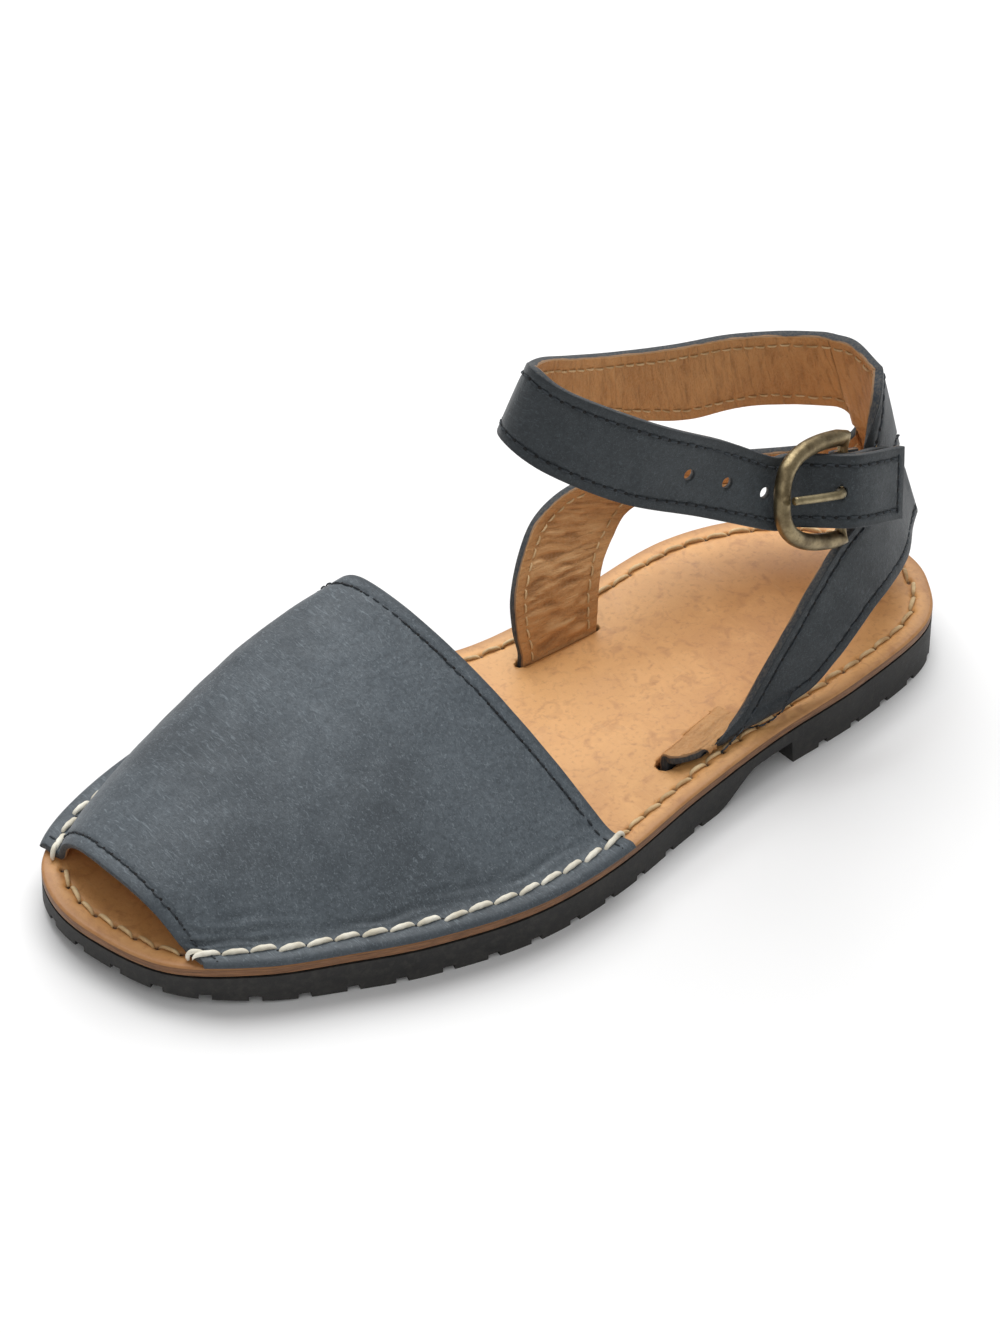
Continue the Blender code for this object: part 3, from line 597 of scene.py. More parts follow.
def waves(points, length, seed, count=16):
    """A soft random swell over the points, mostly between -1 and 1, with hollows about length apart."""
    picker = np.random.default_rng(seed)
    ways = picker.normal(size=(count, 3))
    ways /= np.linalg.norm(ways, axis=1)[:, None]
    ways *= 2 * math.pi / length * picker.uniform(0.7, 1.3, (count, 1))
    turns = picker.uniform(0, 2 * math.pi, count)
    return np.sin(np.asarray(points) @ ways.T + turns).sum(axis=1) / math.sqrt(2.0 * count)


def nearest_distance(points, others):
    """For each point, how far the nearest of the others is."""
    found = np.full(len(points), 1e9)
    for start in range(0, len(others), 200):
        part = others[start : start + 200]
        gap = np.linalg.norm(points[:, None, :] - part[None, :, :], axis=2).min(axis=1)
        found = np.minimum(found, gap)
    return found


def unit(vectors):
    return vectors / np.maximum(np.linalg.norm(vectors, axis=-1, keepdims=True), 1e-12)


class Sheet:
    """A leather sheet given by its middle surface, its faces turned so that the outside is up."""

    def __init__(self, points, faces, marks=None):
        keys = np.round(np.asarray(points) / (0.01 * MM)).astype(np.int64)
        _, first, spot = np.unique(keys, axis=0, return_index=True, return_inverse=True)
        self.points = np.asarray(points)[first]
        self.faces = spot.reshape(-1)[np.asarray(faces)]
        self.marks = {name: np.asarray(values)[first] for name, values in (marks or {}).items()}
        self.normals = self.find_normals()
        self.rim = self.find_rim()
        self.out = self.find_out()
        self.edge = nearest_distance(self.points, self.points[self.rim])
        self.edge[self.rim] = 0.0

    def find_normals(self):
        corners = self.points[self.faces]
        across = np.cross(corners[:, 2] - corners[:, 0], corners[:, 3] - corners[:, 1])
        total = np.zeros_like(self.points)
        for k in range(4):
            np.add.at(total, self.faces[:, k], across)
        return unit(total)

    def find_rim(self):
        """The points round the sheet's one edge, in order."""
        edges = set()
        for a, b, c, d in self.faces.tolist():
            edges.update(((a, b), (b, c), (c, d), (d, a)))
        following = {a: b for a, b in edges if (b, a) not in edges}
        start = next(iter(sorted(following)))
        rim = [start]
        while following[rim[-1]] != start:
            rim.append(following[rim[-1]])
        return np.array(rim)

    def find_out(self):
        ring = self.points[self.rim]
        run = unit(ring - np.roll(ring, 1, axis=0)) + unit(np.roll(ring, -1, axis=0) - ring)
        return unit(np.cross(run, self.normals[self.rim]))

    def solid(self, name, thickness, finishes, outside=0.0, inside=0.0):
        """The sheet as a solid with rounded edges. Outside and inside say how far each skin is
        moved out along the normals. The finishes are the outside's, the edge's and the inside's."""
        count = len(self.points)
        half = thickness / 2
        flat = np.zeros(count)
        skins = [
            self.points + self.normals * (half + flat + outside)[:, None],
            self.points - self.normals * (half + flat + inside)[:, None],
        ]
        for skin in skins:
            skin[self.rim] -= self.out * SHEET_EDGE
        points = [skins[0], skins[1]]
        side = [np.ones(count), -np.ones(count)]
        ring_at = [self.rim]
        start = 2 * count
        outer_half = half + (flat + outside)[self.rim]
        inner_half = half + (flat + inside)[self.rim]
        for high, proud in RIM_PROFILE[1:-1]:
            reach = np.where(high > 0, outer_half, inner_half) * high
            points.append(
                self.points[self.rim]
                + self.normals[self.rim] * reach[:, None]
                + self.out * SHEET_EDGE * (proud - 1)
            )
            side.append(np.full(len(self.rim), high))
            ring_at.append(np.arange(start, start + len(self.rim)))
            start += len(self.rim)
        ring_at.append(self.rim + count)
        faces = [self.faces, self.faces[:, ::-1] + count]
        choice = [np.zeros(len(self.faces)), np.full(len(self.faces), 2)]
        bands = len(ring_at) - 1
        for k in range(bands):
            near, far = ring_at[k], ring_at[k + 1]
            faces.append(np.stack([np.roll(near, -1), near, far, np.roll(far, -1)], axis=1))
            finish = 0 if k == 0 else 2 if k == bands - 1 else 1
            choice.append(np.full(len(near), finish))
        marks = {"side": np.concatenate(side)}
        between = len(RIM_PROFILE) - 2
        for key, values in dict(self.marks, edge=self.edge).items():
            marks[key] = np.concatenate([values, values] + [values[self.rim]] * between)
        return as_mesh(name, np.vstack(points), np.vstack(faces), finishes, np.concatenate(choice), marks)

    def rim_path(self, inset, lift):
        """The edge's line moved into the sheet by inset and off its middle by lift, with normals."""
        normals = self.normals[self.rim]
        path = self.points[self.rim] - self.out * inset + normals * lift
        return path, normals


def as_mesh(name, points, faces, finishes, choice=None, marks=None):
    mesh = bpy.data.meshes.new(name)
    mesh.from_pydata(np.asarray(points, float).tolist(), [], [list(map(int, face)) for face in faces])
    for finish in finishes:
        mesh.materials.append(finish)
    if choice is not None:
        mesh.polygons.foreach_set("material_index", np.asarray(choice, np.int32))
    mesh.polygons.foreach_set("use_smooth", [True] * len(mesh.polygons))
    for key, values in (marks or {}).items():
        layer = mesh.attributes.new(key, "FLOAT", "POINT")
        layer.data.foreach_set("value", np.asarray(values, np.float32))
    mesh.update()
    piece = bpy.data.objects.new(name, mesh)
    bpy.context.scene.collection.objects.link(piece)
    return piece


def combine(target, name, points, faces, operation):
    """A Boolean with a mesh that is thrown away afterwards."""
    tool = as_mesh(name, points, faces, [])
    work = bmesh.new()
    work.from_mesh(tool.data)
    bmesh.ops.recalc_face_normals(work, faces=work.faces)
    work.to_mesh(tool.data)
    work.free()
    change = target.modifiers.new(operation, "BOOLEAN")
    change.object = tool
    change.operation = operation
    change.solver = "EXACT"
    apply_modifiers(target)
    bpy.data.objects.remove(tool)


def apply_modifiers(piece):
    """Turns what the modifiers make into the piece's own mesh."""
    shown = bpy.context.evaluated_depsgraph_get()
    made = bpy.data.meshes.new_from_object(piece.evaluated_get(shown))
    piece.modifiers.clear()
    old = piece.data
    piece.data = made
    bpy.data.meshes.remove(old)


def resample(path, normals, pitch, closed=False):
    """Centres, directions and normals at every pitch along a path."""
    if closed:
        path = np.vstack([path, path[:1]])
        normals = np.vstack([normals, normals[:1]])
    walked = np.concatenate([[0], np.cumsum(np.linalg.norm(np.diff(path, axis=0), axis=1))])
    count = max(1, int(round(walked[-1] / pitch)))
    step = walked[-1] / count
    middle = (np.arange(count) + 0.5) * step

    def at(values, where):
        return np.stack([np.interp(where, walked, values[:, k]) for k in range(3)], axis=1)

    centre = at(path, middle)
    run = unit(at(path, middle + 0.4 * step) - at(path, middle - 0.4 * step))
    return centre, run, unit(at(normals, middle))


def stitch_row(name, centres, runs, normals, seam, finish, rise=0.35, slant=0.0, sides=8, rings=9, seed=3, arch=0.75, taper=0.30):
    """A row of single stitches: each one a short thread that dives into the leather at both ends."""
    picker = np.random.default_rng(seed)
    points = []
    faces = []
    along_marks = []
    half = seam.pitch * seam.share / 2
    for centre, run, normal in zip(centres, runs, normals):
        across = np.cross(normal, run)
        lean = slant + picker.normal() * 0.035
        way = unit(run * math.cos(lean) + across * math.sin(lean))
        side = unit(np.cross(normal, way))
        middle = centre + across * picker.normal() * 0.03 * seam.pitch
        length = half * picker.uniform(0.94, 1.04)
        thick = seam.thread * picker.uniform(0.93, 1.07)
        start = len(points)
        for k in range(rings):
            s = -1 + 2 * k / (rings - 1)
            height = thick * (rise + arch * (1 - abs(s) ** 2.4) - 1.0 * abs(s) ** 8)
            wide = thick * (1 - taper * abs(s) ** 2.6)
            spot = middle + way * s * length + normal * height
            for q in range(sides):
                turn = 2 * math.pi * q / sides
                ply = 1 + 0.07 * math.cos(2 * turn + 2 * math.pi * (s * length) / (3.2 * seam.thread))
                points.append(spot + wide * ply * (side * math.cos(turn) + normal * 0.9 * math.sin(turn)))
                along_marks.append(s)
        for k in range(rings - 1):
            a = start + k * sides
            b = a + sides
            faces += [[a + q, a + (q + 1) % sides, b + (q + 1) % sides, b + q] for q in range(sides)]
        faces.append([start + q for q in reversed(range(sides))])
        faces.append([start + (rings - 1) * sides + q for q in range(sides)])
    return as_mesh(name, points, faces, [finish], marks={"along": along_marks})


def needle_hole_shades(name, spots, runs, normals, wide, long, finish):
    """Painted shade: dark cups where a thread goes into the leather, standing for the shade inside its hole."""
    points = []
    faces = []
    sides = 8
    for spot, run, normal in zip(spots, runs, normals):
        side = unit(np.cross(normal, run))
        start = len(points)
        for high, share in ((0.0, 1.0), (0.6, 0.8), (0.9, 0.4)):
            for q in range(sides):
                turn = 2 * math.pi * q / sides
                flat = run * long * math.cos(turn) + side * wide * math.sin(turn)
                points.append(spot + flat * share + normal * high * 0.12 * MM)
        for k in range(2):
            a = start + k * sides
            b = a + sides
            faces += [[a + q, a + (q + 1) % sides, b + (q + 1) % sides, b + q] for q in range(sides)]
        faces.append([start + 2 * sides + q for q in range(sides)])
    return as_mesh(name, points, faces, [finish])


def well_inside(sheet, path, inset):
    """Which points of a path near a sheet stay clear of its edge."""
    return nearest_distance(path, sheet.points[sheet.rim]) > 0.86 * inset


def paint(red, green, blue):
    """A colour as it looks on a screen, 0 to 255, turned into the renderer's own numbers."""
    found = []
    for part in (red, green, blue):
        share = part / 255
        found.append(share / 12.92 if share <= 0.04045 else ((share + 0.055) / 1.055) ** 2.4)
    return (*found, 1.0)


class Finish:
    """A procedural material, built up from noises over the piece's own place in metres."""

    def __init__(self, name, roughness=0.6, metallic=0.0):
        self.material = bpy.data.materials.new(name)
        self.material.use_nodes = True
        self.tree = self.material.node_tree
        self.shader = self.tree.nodes["Principled BSDF"]
        self.shader.inputs["Roughness"].default_value = roughness
        self.shader.inputs["Metallic"].default_value = metallic
        self.place = self.tree.nodes.new("ShaderNodeTexCoord").outputs["Object"]
        self.height = None

    def set(self, name, value):
        self.shader.inputs[name].default_value = value

    def feed(self, socket, value):
        if isinstance(value, bpy.types.NodeSocket):
            self.tree.links.new(value, socket)
        else:
            socket.default_value = value

    def moved(self, turn=(0, 0, 0), stretch=(1, 1, 1), shift=(0, 0, 0), source=None):
        node = self.tree.nodes.new("ShaderNodeMapping")
        self.feed(node.inputs["Vector"], source or self.place)
        node.inputs["Location"].default_value = shift
        node.inputs["Rotation"].default_value = turn
        node.inputs["Scale"].default_value = stretch
        return node.outputs["Vector"]

    def noise(self, size, detail=3.0, rough=0.55, source=None, warp=0.0):
        """Cloudy noise with blots about size across, in metres."""
        node = self.tree.nodes.new("ShaderNodeTexNoise")
        self.feed(node.inputs["Vector"], source or self.place)
        node.inputs["Scale"].default_value = 1 / size
        node.inputs["Detail"].default_value = detail
        node.inputs["Roughness"].default_value = rough
        node.inputs["Distortion"].default_value = warp
        return node.outputs["Fac"]

    def cells(self, size, feature="F1", source=None):
        node = self.tree.nodes.new("ShaderNodeTexVoronoi")
        self.feed(node.inputs["Vector"], source or self.place)
        node.feature = feature
        node.inputs["Scale"].default_value = 1 / size
        return node.outputs["Distance"]

    def mark(self, name):
        node = self.tree.nodes.new("ShaderNodeAttribute")
        node.attribute_name = name
        return node.outputs["Fac"]

    def pair(self, first, second):
        node = self.tree.nodes.new("ShaderNodeCombineXYZ")
        self.feed(node.inputs[0], first)
        self.feed(node.inputs[1], second)
        return node.outputs[0]

    def axis(self, which):
        node = self.tree.nodes.new("ShaderNodeSeparateXYZ")
        self.feed(node.inputs[0], self.place)
        return node.outputs[which]

    def remap(self, value, low, high, to_low=0.0, to_high=1.0, smooth=False):
        node = self.tree.nodes.new("ShaderNodeMapRange")
        node.interpolation_type = "SMOOTHSTEP" if smooth else "LINEAR"
        self.feed(node.inputs["Value"], value)
        for key, number in (("From Min", low), ("From Max", high), ("To Min", to_low), ("To Max", to_high)):
            node.inputs[key].default_value = number
        return node.outputs["Result"]

    def sum(self, operation, first, second):
        node = self.tree.nodes.new("ShaderNodeMath")
        node.operation = operation
        self.feed(node.inputs[0], first)
        self.feed(node.inputs[1], second)
        return node.outputs[0]

    def blend(self, share, first, second, how="MIX"):
        node = self.tree.nodes.new("ShaderNodeMix")
        node.data_type = "RGBA"
        node.blend_type = how
        self.feed(node.inputs["Factor"], share)
        self.feed(node.inputs[6], first)
        self.feed(node.inputs[7], second)
        return node.outputs[2]

    def bump(self, value, deep):
        """Adds relief: value 1 stands deep metres above value 0."""
        node = self.tree.nodes.new("ShaderNodeBump")
        node.inputs["Strength"].default_value = 1.0
        node.inputs["Distance"].default_value = deep
        self.feed(node.inputs["Height"], value)
        if self.height is not None:
            self.feed(node.inputs["Normal"], self.height)
        self.height = node.outputs["Normal"]

    def done(self, colour, roughness=None):
        self.feed(self.shader.inputs["Base Color"], colour)
        if roughness is not None:
            self.feed(self.shader.inputs["Roughness"], roughness)
        if self.height is not None:
            self.feed(self.shader.inputs["Normal"], self.height)
        return self.material


def nubuck(name, light, dark, worn, shift=0.0):
    """Oiled nubuck: clouded by handling, with a short nap of fine pale hairs."""
    finish = Finish(name)
    base = finish.moved(shift=(shift, 0.3 * shift, 0.1))
    cloud = finish.noise(55 * MM, 3, 0.5, base)
    patch = finish.noise(8 * MM, 5, 0.65, base, 0.6)
    nap = finish.noise(1.0 * MM, 5, 0.75, base, 0.5)
    hair_place = finish.moved(turn=(0.3, 0.5, 0.8), stretch=(1, 0.16, 1), source=base)
    hair = finish.noise(0.62 * MM, 2, 0.5, hair_place, 1.6)
    other_place = finish.moved(turn=(1.1, 0.2, -0.7), stretch=(1, 0.18, 1), source=base)
    other = finish.noise(0.70 * MM, 2, 0.5, other_place, 1.4)
    colour = finish.blend(finish.remap(cloud, 0.36, 0.64), dark, light)
    colour = finish.blend(finish.remap(patch, 0.35, 0.75, 0.0, 0.30), colour, worn)
    colour = finish.blend(finish.remap(nap, 0.38, 0.62, 0.66, 0.0), colour, dark)
    strands = finish.sum("MAXIMUM", finish.remap(hair, 0.58, 0.72), finish.remap(other, 0.60, 0.74))
    colour = finish.blend(finish.sum("MULTIPLY", strands, 0.66), colour, worn)
    near = finish.remap(finish.mark("edge"), 0.2 * MM, 2.2 * MM, 0.55, 0.0, smooth=True)
    colour = finish.blend(near, colour, dark)
    finish.bump(nap, 0.16 * MM)
    finish.bump(patch, 0.16 * MM)
    finish.bump(strands, 0.03 * MM)
    rough = finish.remap(patch, 0.3, 0.7, 0.66, 0.52)
    finish.set("Specular IOR Level", 0.42)
    finish.set("Sheen Weight", 0.10)
    finish.set("Sheen Roughness", 0.5)
    return finish.done(colour, rough)


def lining(name):
    """Undyed pigskin-like lining with soft cross wrinkles and a fine grain, with painted shade in the hollows of its
    wrinkles and folds and a painted highlight on the fold ridges.
    """
    finish = Finish(name)
    cloud = finish.noise(22 * MM, 3, 0.55)
    sheet_place = finish.pair(finish.mark("run"), finish.mark("across"))
    crease_place = finish.moved(stretch=(1, 0.22, 1), source=sheet_place)
    crease = finish.noise(1.7 * MM, 4, 0.6, crease_place, 0.7)
    grain = finish.noise(0.7 * MM, 3, 0.6)
    pores = finish.cells(1.1 * MM)
    colour = finish.blend(finish.remap(cloud, 0.3, 0.7), paint(184, 134, 84), paint(208, 158, 104))
    # Painted shade in the hollows of the wrinkles
    colour = finish.blend(finish.remap(crease, 0.34, 0.50, 0.38, 0.0), colour, paint(132, 88, 48))
    # Painted shade in the fold hollows
    folds = finish.remap(finish.mark("fold"), -0.28 * MM, 0.0 * MM, 0.50, 0.0)
    colour = finish.blend(folds, colour, paint(118, 76, 40))
    # Painted highlight on the fold ridges
    ridge_highlight = finish.remap(finish.mark("fold"), 0.04 * MM, 0.30 * MM, 0.0, 0.6)
    colour = finish.blend(ridge_highlight, colour, paint(222, 182, 132))
    colour = finish.blend(finish.remap(grain, 0.35, 0.7, 0.0, 0.25), colour, paint(214, 176, 130))
    finish.bump(crease, 0.60 * MM)
    finish.bump(grain, 0.12 * MM)
    finish.bump(pores, 0.05 * MM)
    finish.set("Specular IOR Level", 0.35)
    return finish.done(colour, finish.remap(grain, 0.3, 0.7, 0.72, 0.6))


def cut_edge(name, dyed, raw):
    """The leather's cut edge: dyed on the outer half, raw fibres on the lining's half."""
    finish = Finish(name)
    fibre_place = finish.moved(stretch=(1, 1, 0.4))
    fibre = finish.noise(0.6 * MM, 4, 0.65, fibre_place)
    cloud = finish.noise(6 * MM, 3)
    ragged = finish.sum("ADD", finish.mark("side"), finish.remap(cloud, 0.3, 0.7, -0.25, 0.25))
    colour = finish.blend(finish.remap(ragged, -0.72, -0.50), raw, dyed)
    colour = finish.blend(finish.remap(fibre, 0.4, 0.7, 0.0, 0.4), colour, paint(120, 112, 100))
    finish.bump(fibre, 0.14 * MM)
    return finish.done(colour, 0.82)


def board(name):
    """Vegetable-tanned insole leather, waxed and lightly handled, with a burnished edge."""
    finish = Finish(name)
    cloud = finish.noise(46 * MM, 3, 0.5)
    blotch = finish.noise(11 * MM, 4, 0.6, warp=0.5)
    speck = finish.noise(1.3 * MM, 3, 0.6)
    grain = finish.noise(0.5 * MM, 3, 0.6)
    scratch_place = finish.moved(turn=(0, 0, 0.5), stretch=(1, 0.16, 1))
    scratch = finish.noise(1.1 * MM, 2, 0.5, scratch_place, 0.3)
    stain = finish.noise(4.2 * MM, 3, 0.5, finish.moved(shift=(0.31, 0.17, 0.05)), 0.8)
    colour = finish.blend(finish.remap(cloud, 0.3, 0.7), paint(201, 146, 87), paint(218, 164, 102))
    colour = finish.blend(finish.remap(blotch, 0.42, 0.68, 0.0, 0.55), colour, paint(229, 177, 118))
    colour = finish.blend(finish.remap(stain, 0.54, 0.74, 0.0, 0.52), colour, paint(166, 112, 66))
    colour = finish.blend(finish.remap(speck, 0.54, 0.74, 0.0, 0.38), colour, paint(160, 108, 62))
    colour = finish.blend(finish.remap(scratch, 0.62, 0.74, 0.0, 0.14), colour, paint(232, 192, 142))
    # Darker at the toes: toe wear, and painted shade under the vamp
    colour = finish.blend(finish.mark("worn"), colour, paint(142, 96, 56))
    burnish = finish.remap(finish.mark("inset"), 0.3 * MM, 3.4 * MM, 0.85, 0.0, smooth=True)
    colour = finish.blend(finish.sum("MULTIPLY", burnish, 0.58), colour, paint(134, 86, 50))
    # Painted shade in the dips of the seam's stitch holes
    colour = finish.blend(finish.remap(finish.mark("hole_dip_and_shade"), 0.25, 0.8), colour, paint(48, 30, 18))
    colour = finish.blend(finish.remap(finish.mark("wall"), 0.3, 0.7), colour, paint(104, 70, 44))
    layers_place = finish.moved(stretch=(0.25, 0.25, 3.0))
    layers = finish.noise(1.4 * MM, 4, 0.6, layers_place)
    streak = finish.sum("MULTIPLY", finish.remap(layers, 0.35, 0.7), finish.mark("wall"))
    colour = finish.blend(finish.sum("MULTIPLY", streak, 0.5), colour, paint(176, 124, 80))
    finish.bump(blotch, 0.30 * MM)
    finish.bump(speck, 0.09 * MM)
    finish.bump(grain, 0.045 * MM)
    finish.bump(streak, 0.12 * MM)
    finish.set("Coat Weight", 0.10)
    finish.set("Coat Roughness", 0.35)
    finish.set("Specular IOR Level", 0.4)
    return finish.done(colour, finish.remap(blotch, 0.3, 0.7, 0.46, 0.60))


def rubber(name):
    """Moulded black rubber: matt, a little dusty, scuffed paler along its lower edge."""
    finish = Finish(name)
    cloud = finish.noise(17 * MM, 4, 0.6)
    dust = finish.noise(2.0 * MM, 5, 0.7)
    grain = finish.noise(0.55 * MM, 4, 0.65)
    colour = finish.blend(finish.remap(cloud, 0.3, 0.7), paint(31, 31, 31), paint(45, 44, 43))
    colour = finish.blend(finish.remap(dust, 0.46, 0.72, 0.0, 0.50), colour, paint(76, 74, 70))
    low = finish.remap(finish.axis("Z"), 0.0, 3.0 * MM, 0.28, 0.0)
    colour = finish.blend(low, colour, paint(78, 76, 74))
    finish.bump(grain, 0.09 * MM)
    finish.bump(cloud, 0.30 * MM)
    finish.set("Specular IOR Level", 0.36)
    return finish.done(colour, finish.remap(dust, 0.35, 0.7, 0.58, 0.78))


def brass(name, bright, dull):
    """Antique brass: darkened in its hollows, rubbed paler where it is handled."""
    finish = Finish(name, metallic=1.0)
    cloud = finish.noise(5.5 * MM, 4, 0.6)
    spot = finish.noise(0.9 * MM, 4, 0.65)
    colour = finish.blend(finish.remap(cloud, 0.34, 0.66), dull, bright)
    colour = finish.blend(finish.remap(spot, 0.50, 0.75, 0.0, 0.55), colour, dull)
    finish.bump(spot, 0.05 * MM)
    return finish.done(colour, finish.remap(spot, 0.3, 0.7, 0.34, 0.52))


def thread(name, light, dark, rough=0.7):
    """Waxed thread, a little soiled."""
    finish = Finish(name)
    cloud = finish.noise(5 * MM, 3)
    fibre = finish.noise(0.35 * MM, 3, 0.6)
    colour = finish.blend(finish.remap(cloud, 0.35, 0.65), light, dark)
    ends = finish.remap(finish.mark("along"), 0.55, 1.0, 0.0, 0.35)
    colour = finish.blend(ends, colour, dark)
    colour = finish.blend(finish.remap(fibre, 0.4, 0.7, 0.0, 0.25), colour, dark)
    finish.bump(fibre, 0.06 * MM)
    return finish.done(colour, rough)


def vamp_grid():
    """The vamp's middle surface: columns from the front edge to the rear one, rows from the inner
    flange to the outer one."""
    table = smooth_through([tuple(section) for section in VAMP], 60)
    stretch = np.linspace(0, 1, len(table))
    fine = np.linspace(0, 0.055, 13)
    shares = np.concatenate([fine, np.linspace(0.055, 0.945, 84)[1:-1], 1 - fine[::-1]])
    columns = []
    for share in shares:
        fields = [np.interp(share, stretch, table[:, k]) for k in range(6)]
        columns.append(vamp_column(VampSection(*fields)))
    return np.array(columns)


def vamp_column(section):
    rough = vamp_section(section)
    over = rough[3:-3]
    flange_rows = 15
    inner = rough[0] + (over[0] - rough[0]) * np.linspace(0, 1, flange_rows)[:-1, None]
    outer = over[-1] + (rough[-1] - over[-1]) * np.linspace(0, 1, flange_rows)[1:, None]
    column = np.vstack([hem(rough[0], over[0])[::-1], inner, over, outer, hem(rough[-1], over[-1])])
    flange_rows += len(HEM)
    walked = np.concatenate([[0], np.cumsum(np.linalg.norm(np.diff(column, axis=0), axis=1))])
    for foot in (flange_rows - 1, len(column) - flange_rows):
        away = np.abs(walked - walked[foot])
        loose = np.clip(1 - away / (1.7 * FOLD_RADIUS), 0, 1)[:, None]
        for _ in range(14):
            eased = column.copy()
            eased[1:-1] = (column[:-2] + column[2:]) / 2
            column += loose * 0.8 * (eased - column)
    return column


# The flange's hem turns down over the insole's edge: how far out and how far down its rows go
HEM = [(0.40 * MM, -0.10 * MM), (0.75 * MM, -0.40 * MM), (1.00 * MM, -0.85 * MM)]


def hem(rim, foot):
    out = unit(np.array([rim[0] - foot[0], rim[1] - foot[1], 0.0]))
    return np.array([rim + out * far + (0, 0, down) for far, down in HEM])


def along_rows(grid, distance, from_end):
    """The points at a distance from the first or last row, one for each column."""
    found = []
    for column in grid:
        line = column[::-1] if from_end else column
        walked = np.concatenate([[0], np.cumsum(np.linalg.norm(np.diff(line, axis=0), axis=1))])
        found.append([np.interp(distance, walked, line[:, k]) for k in range(3)])
    return np.array(found)


def grid_normals(grid):
    """Normals of a grid whose columns run backwards and whose rows run outwards."""
    across = np.gradient(grid, axis=0)
    up = np.gradient(grid, axis=1)
    return unit(np.cross(up, across))


def at_points(path, grid, normals):
    """Normals of the grid's nearest points to a path."""
    flat = grid.reshape(-1, 3)
    kinds = normals.reshape(-1, 3)
    return np.array([kinds[np.argmin(np.sum((flat - spot) ** 2, axis=1))] for spot in path])


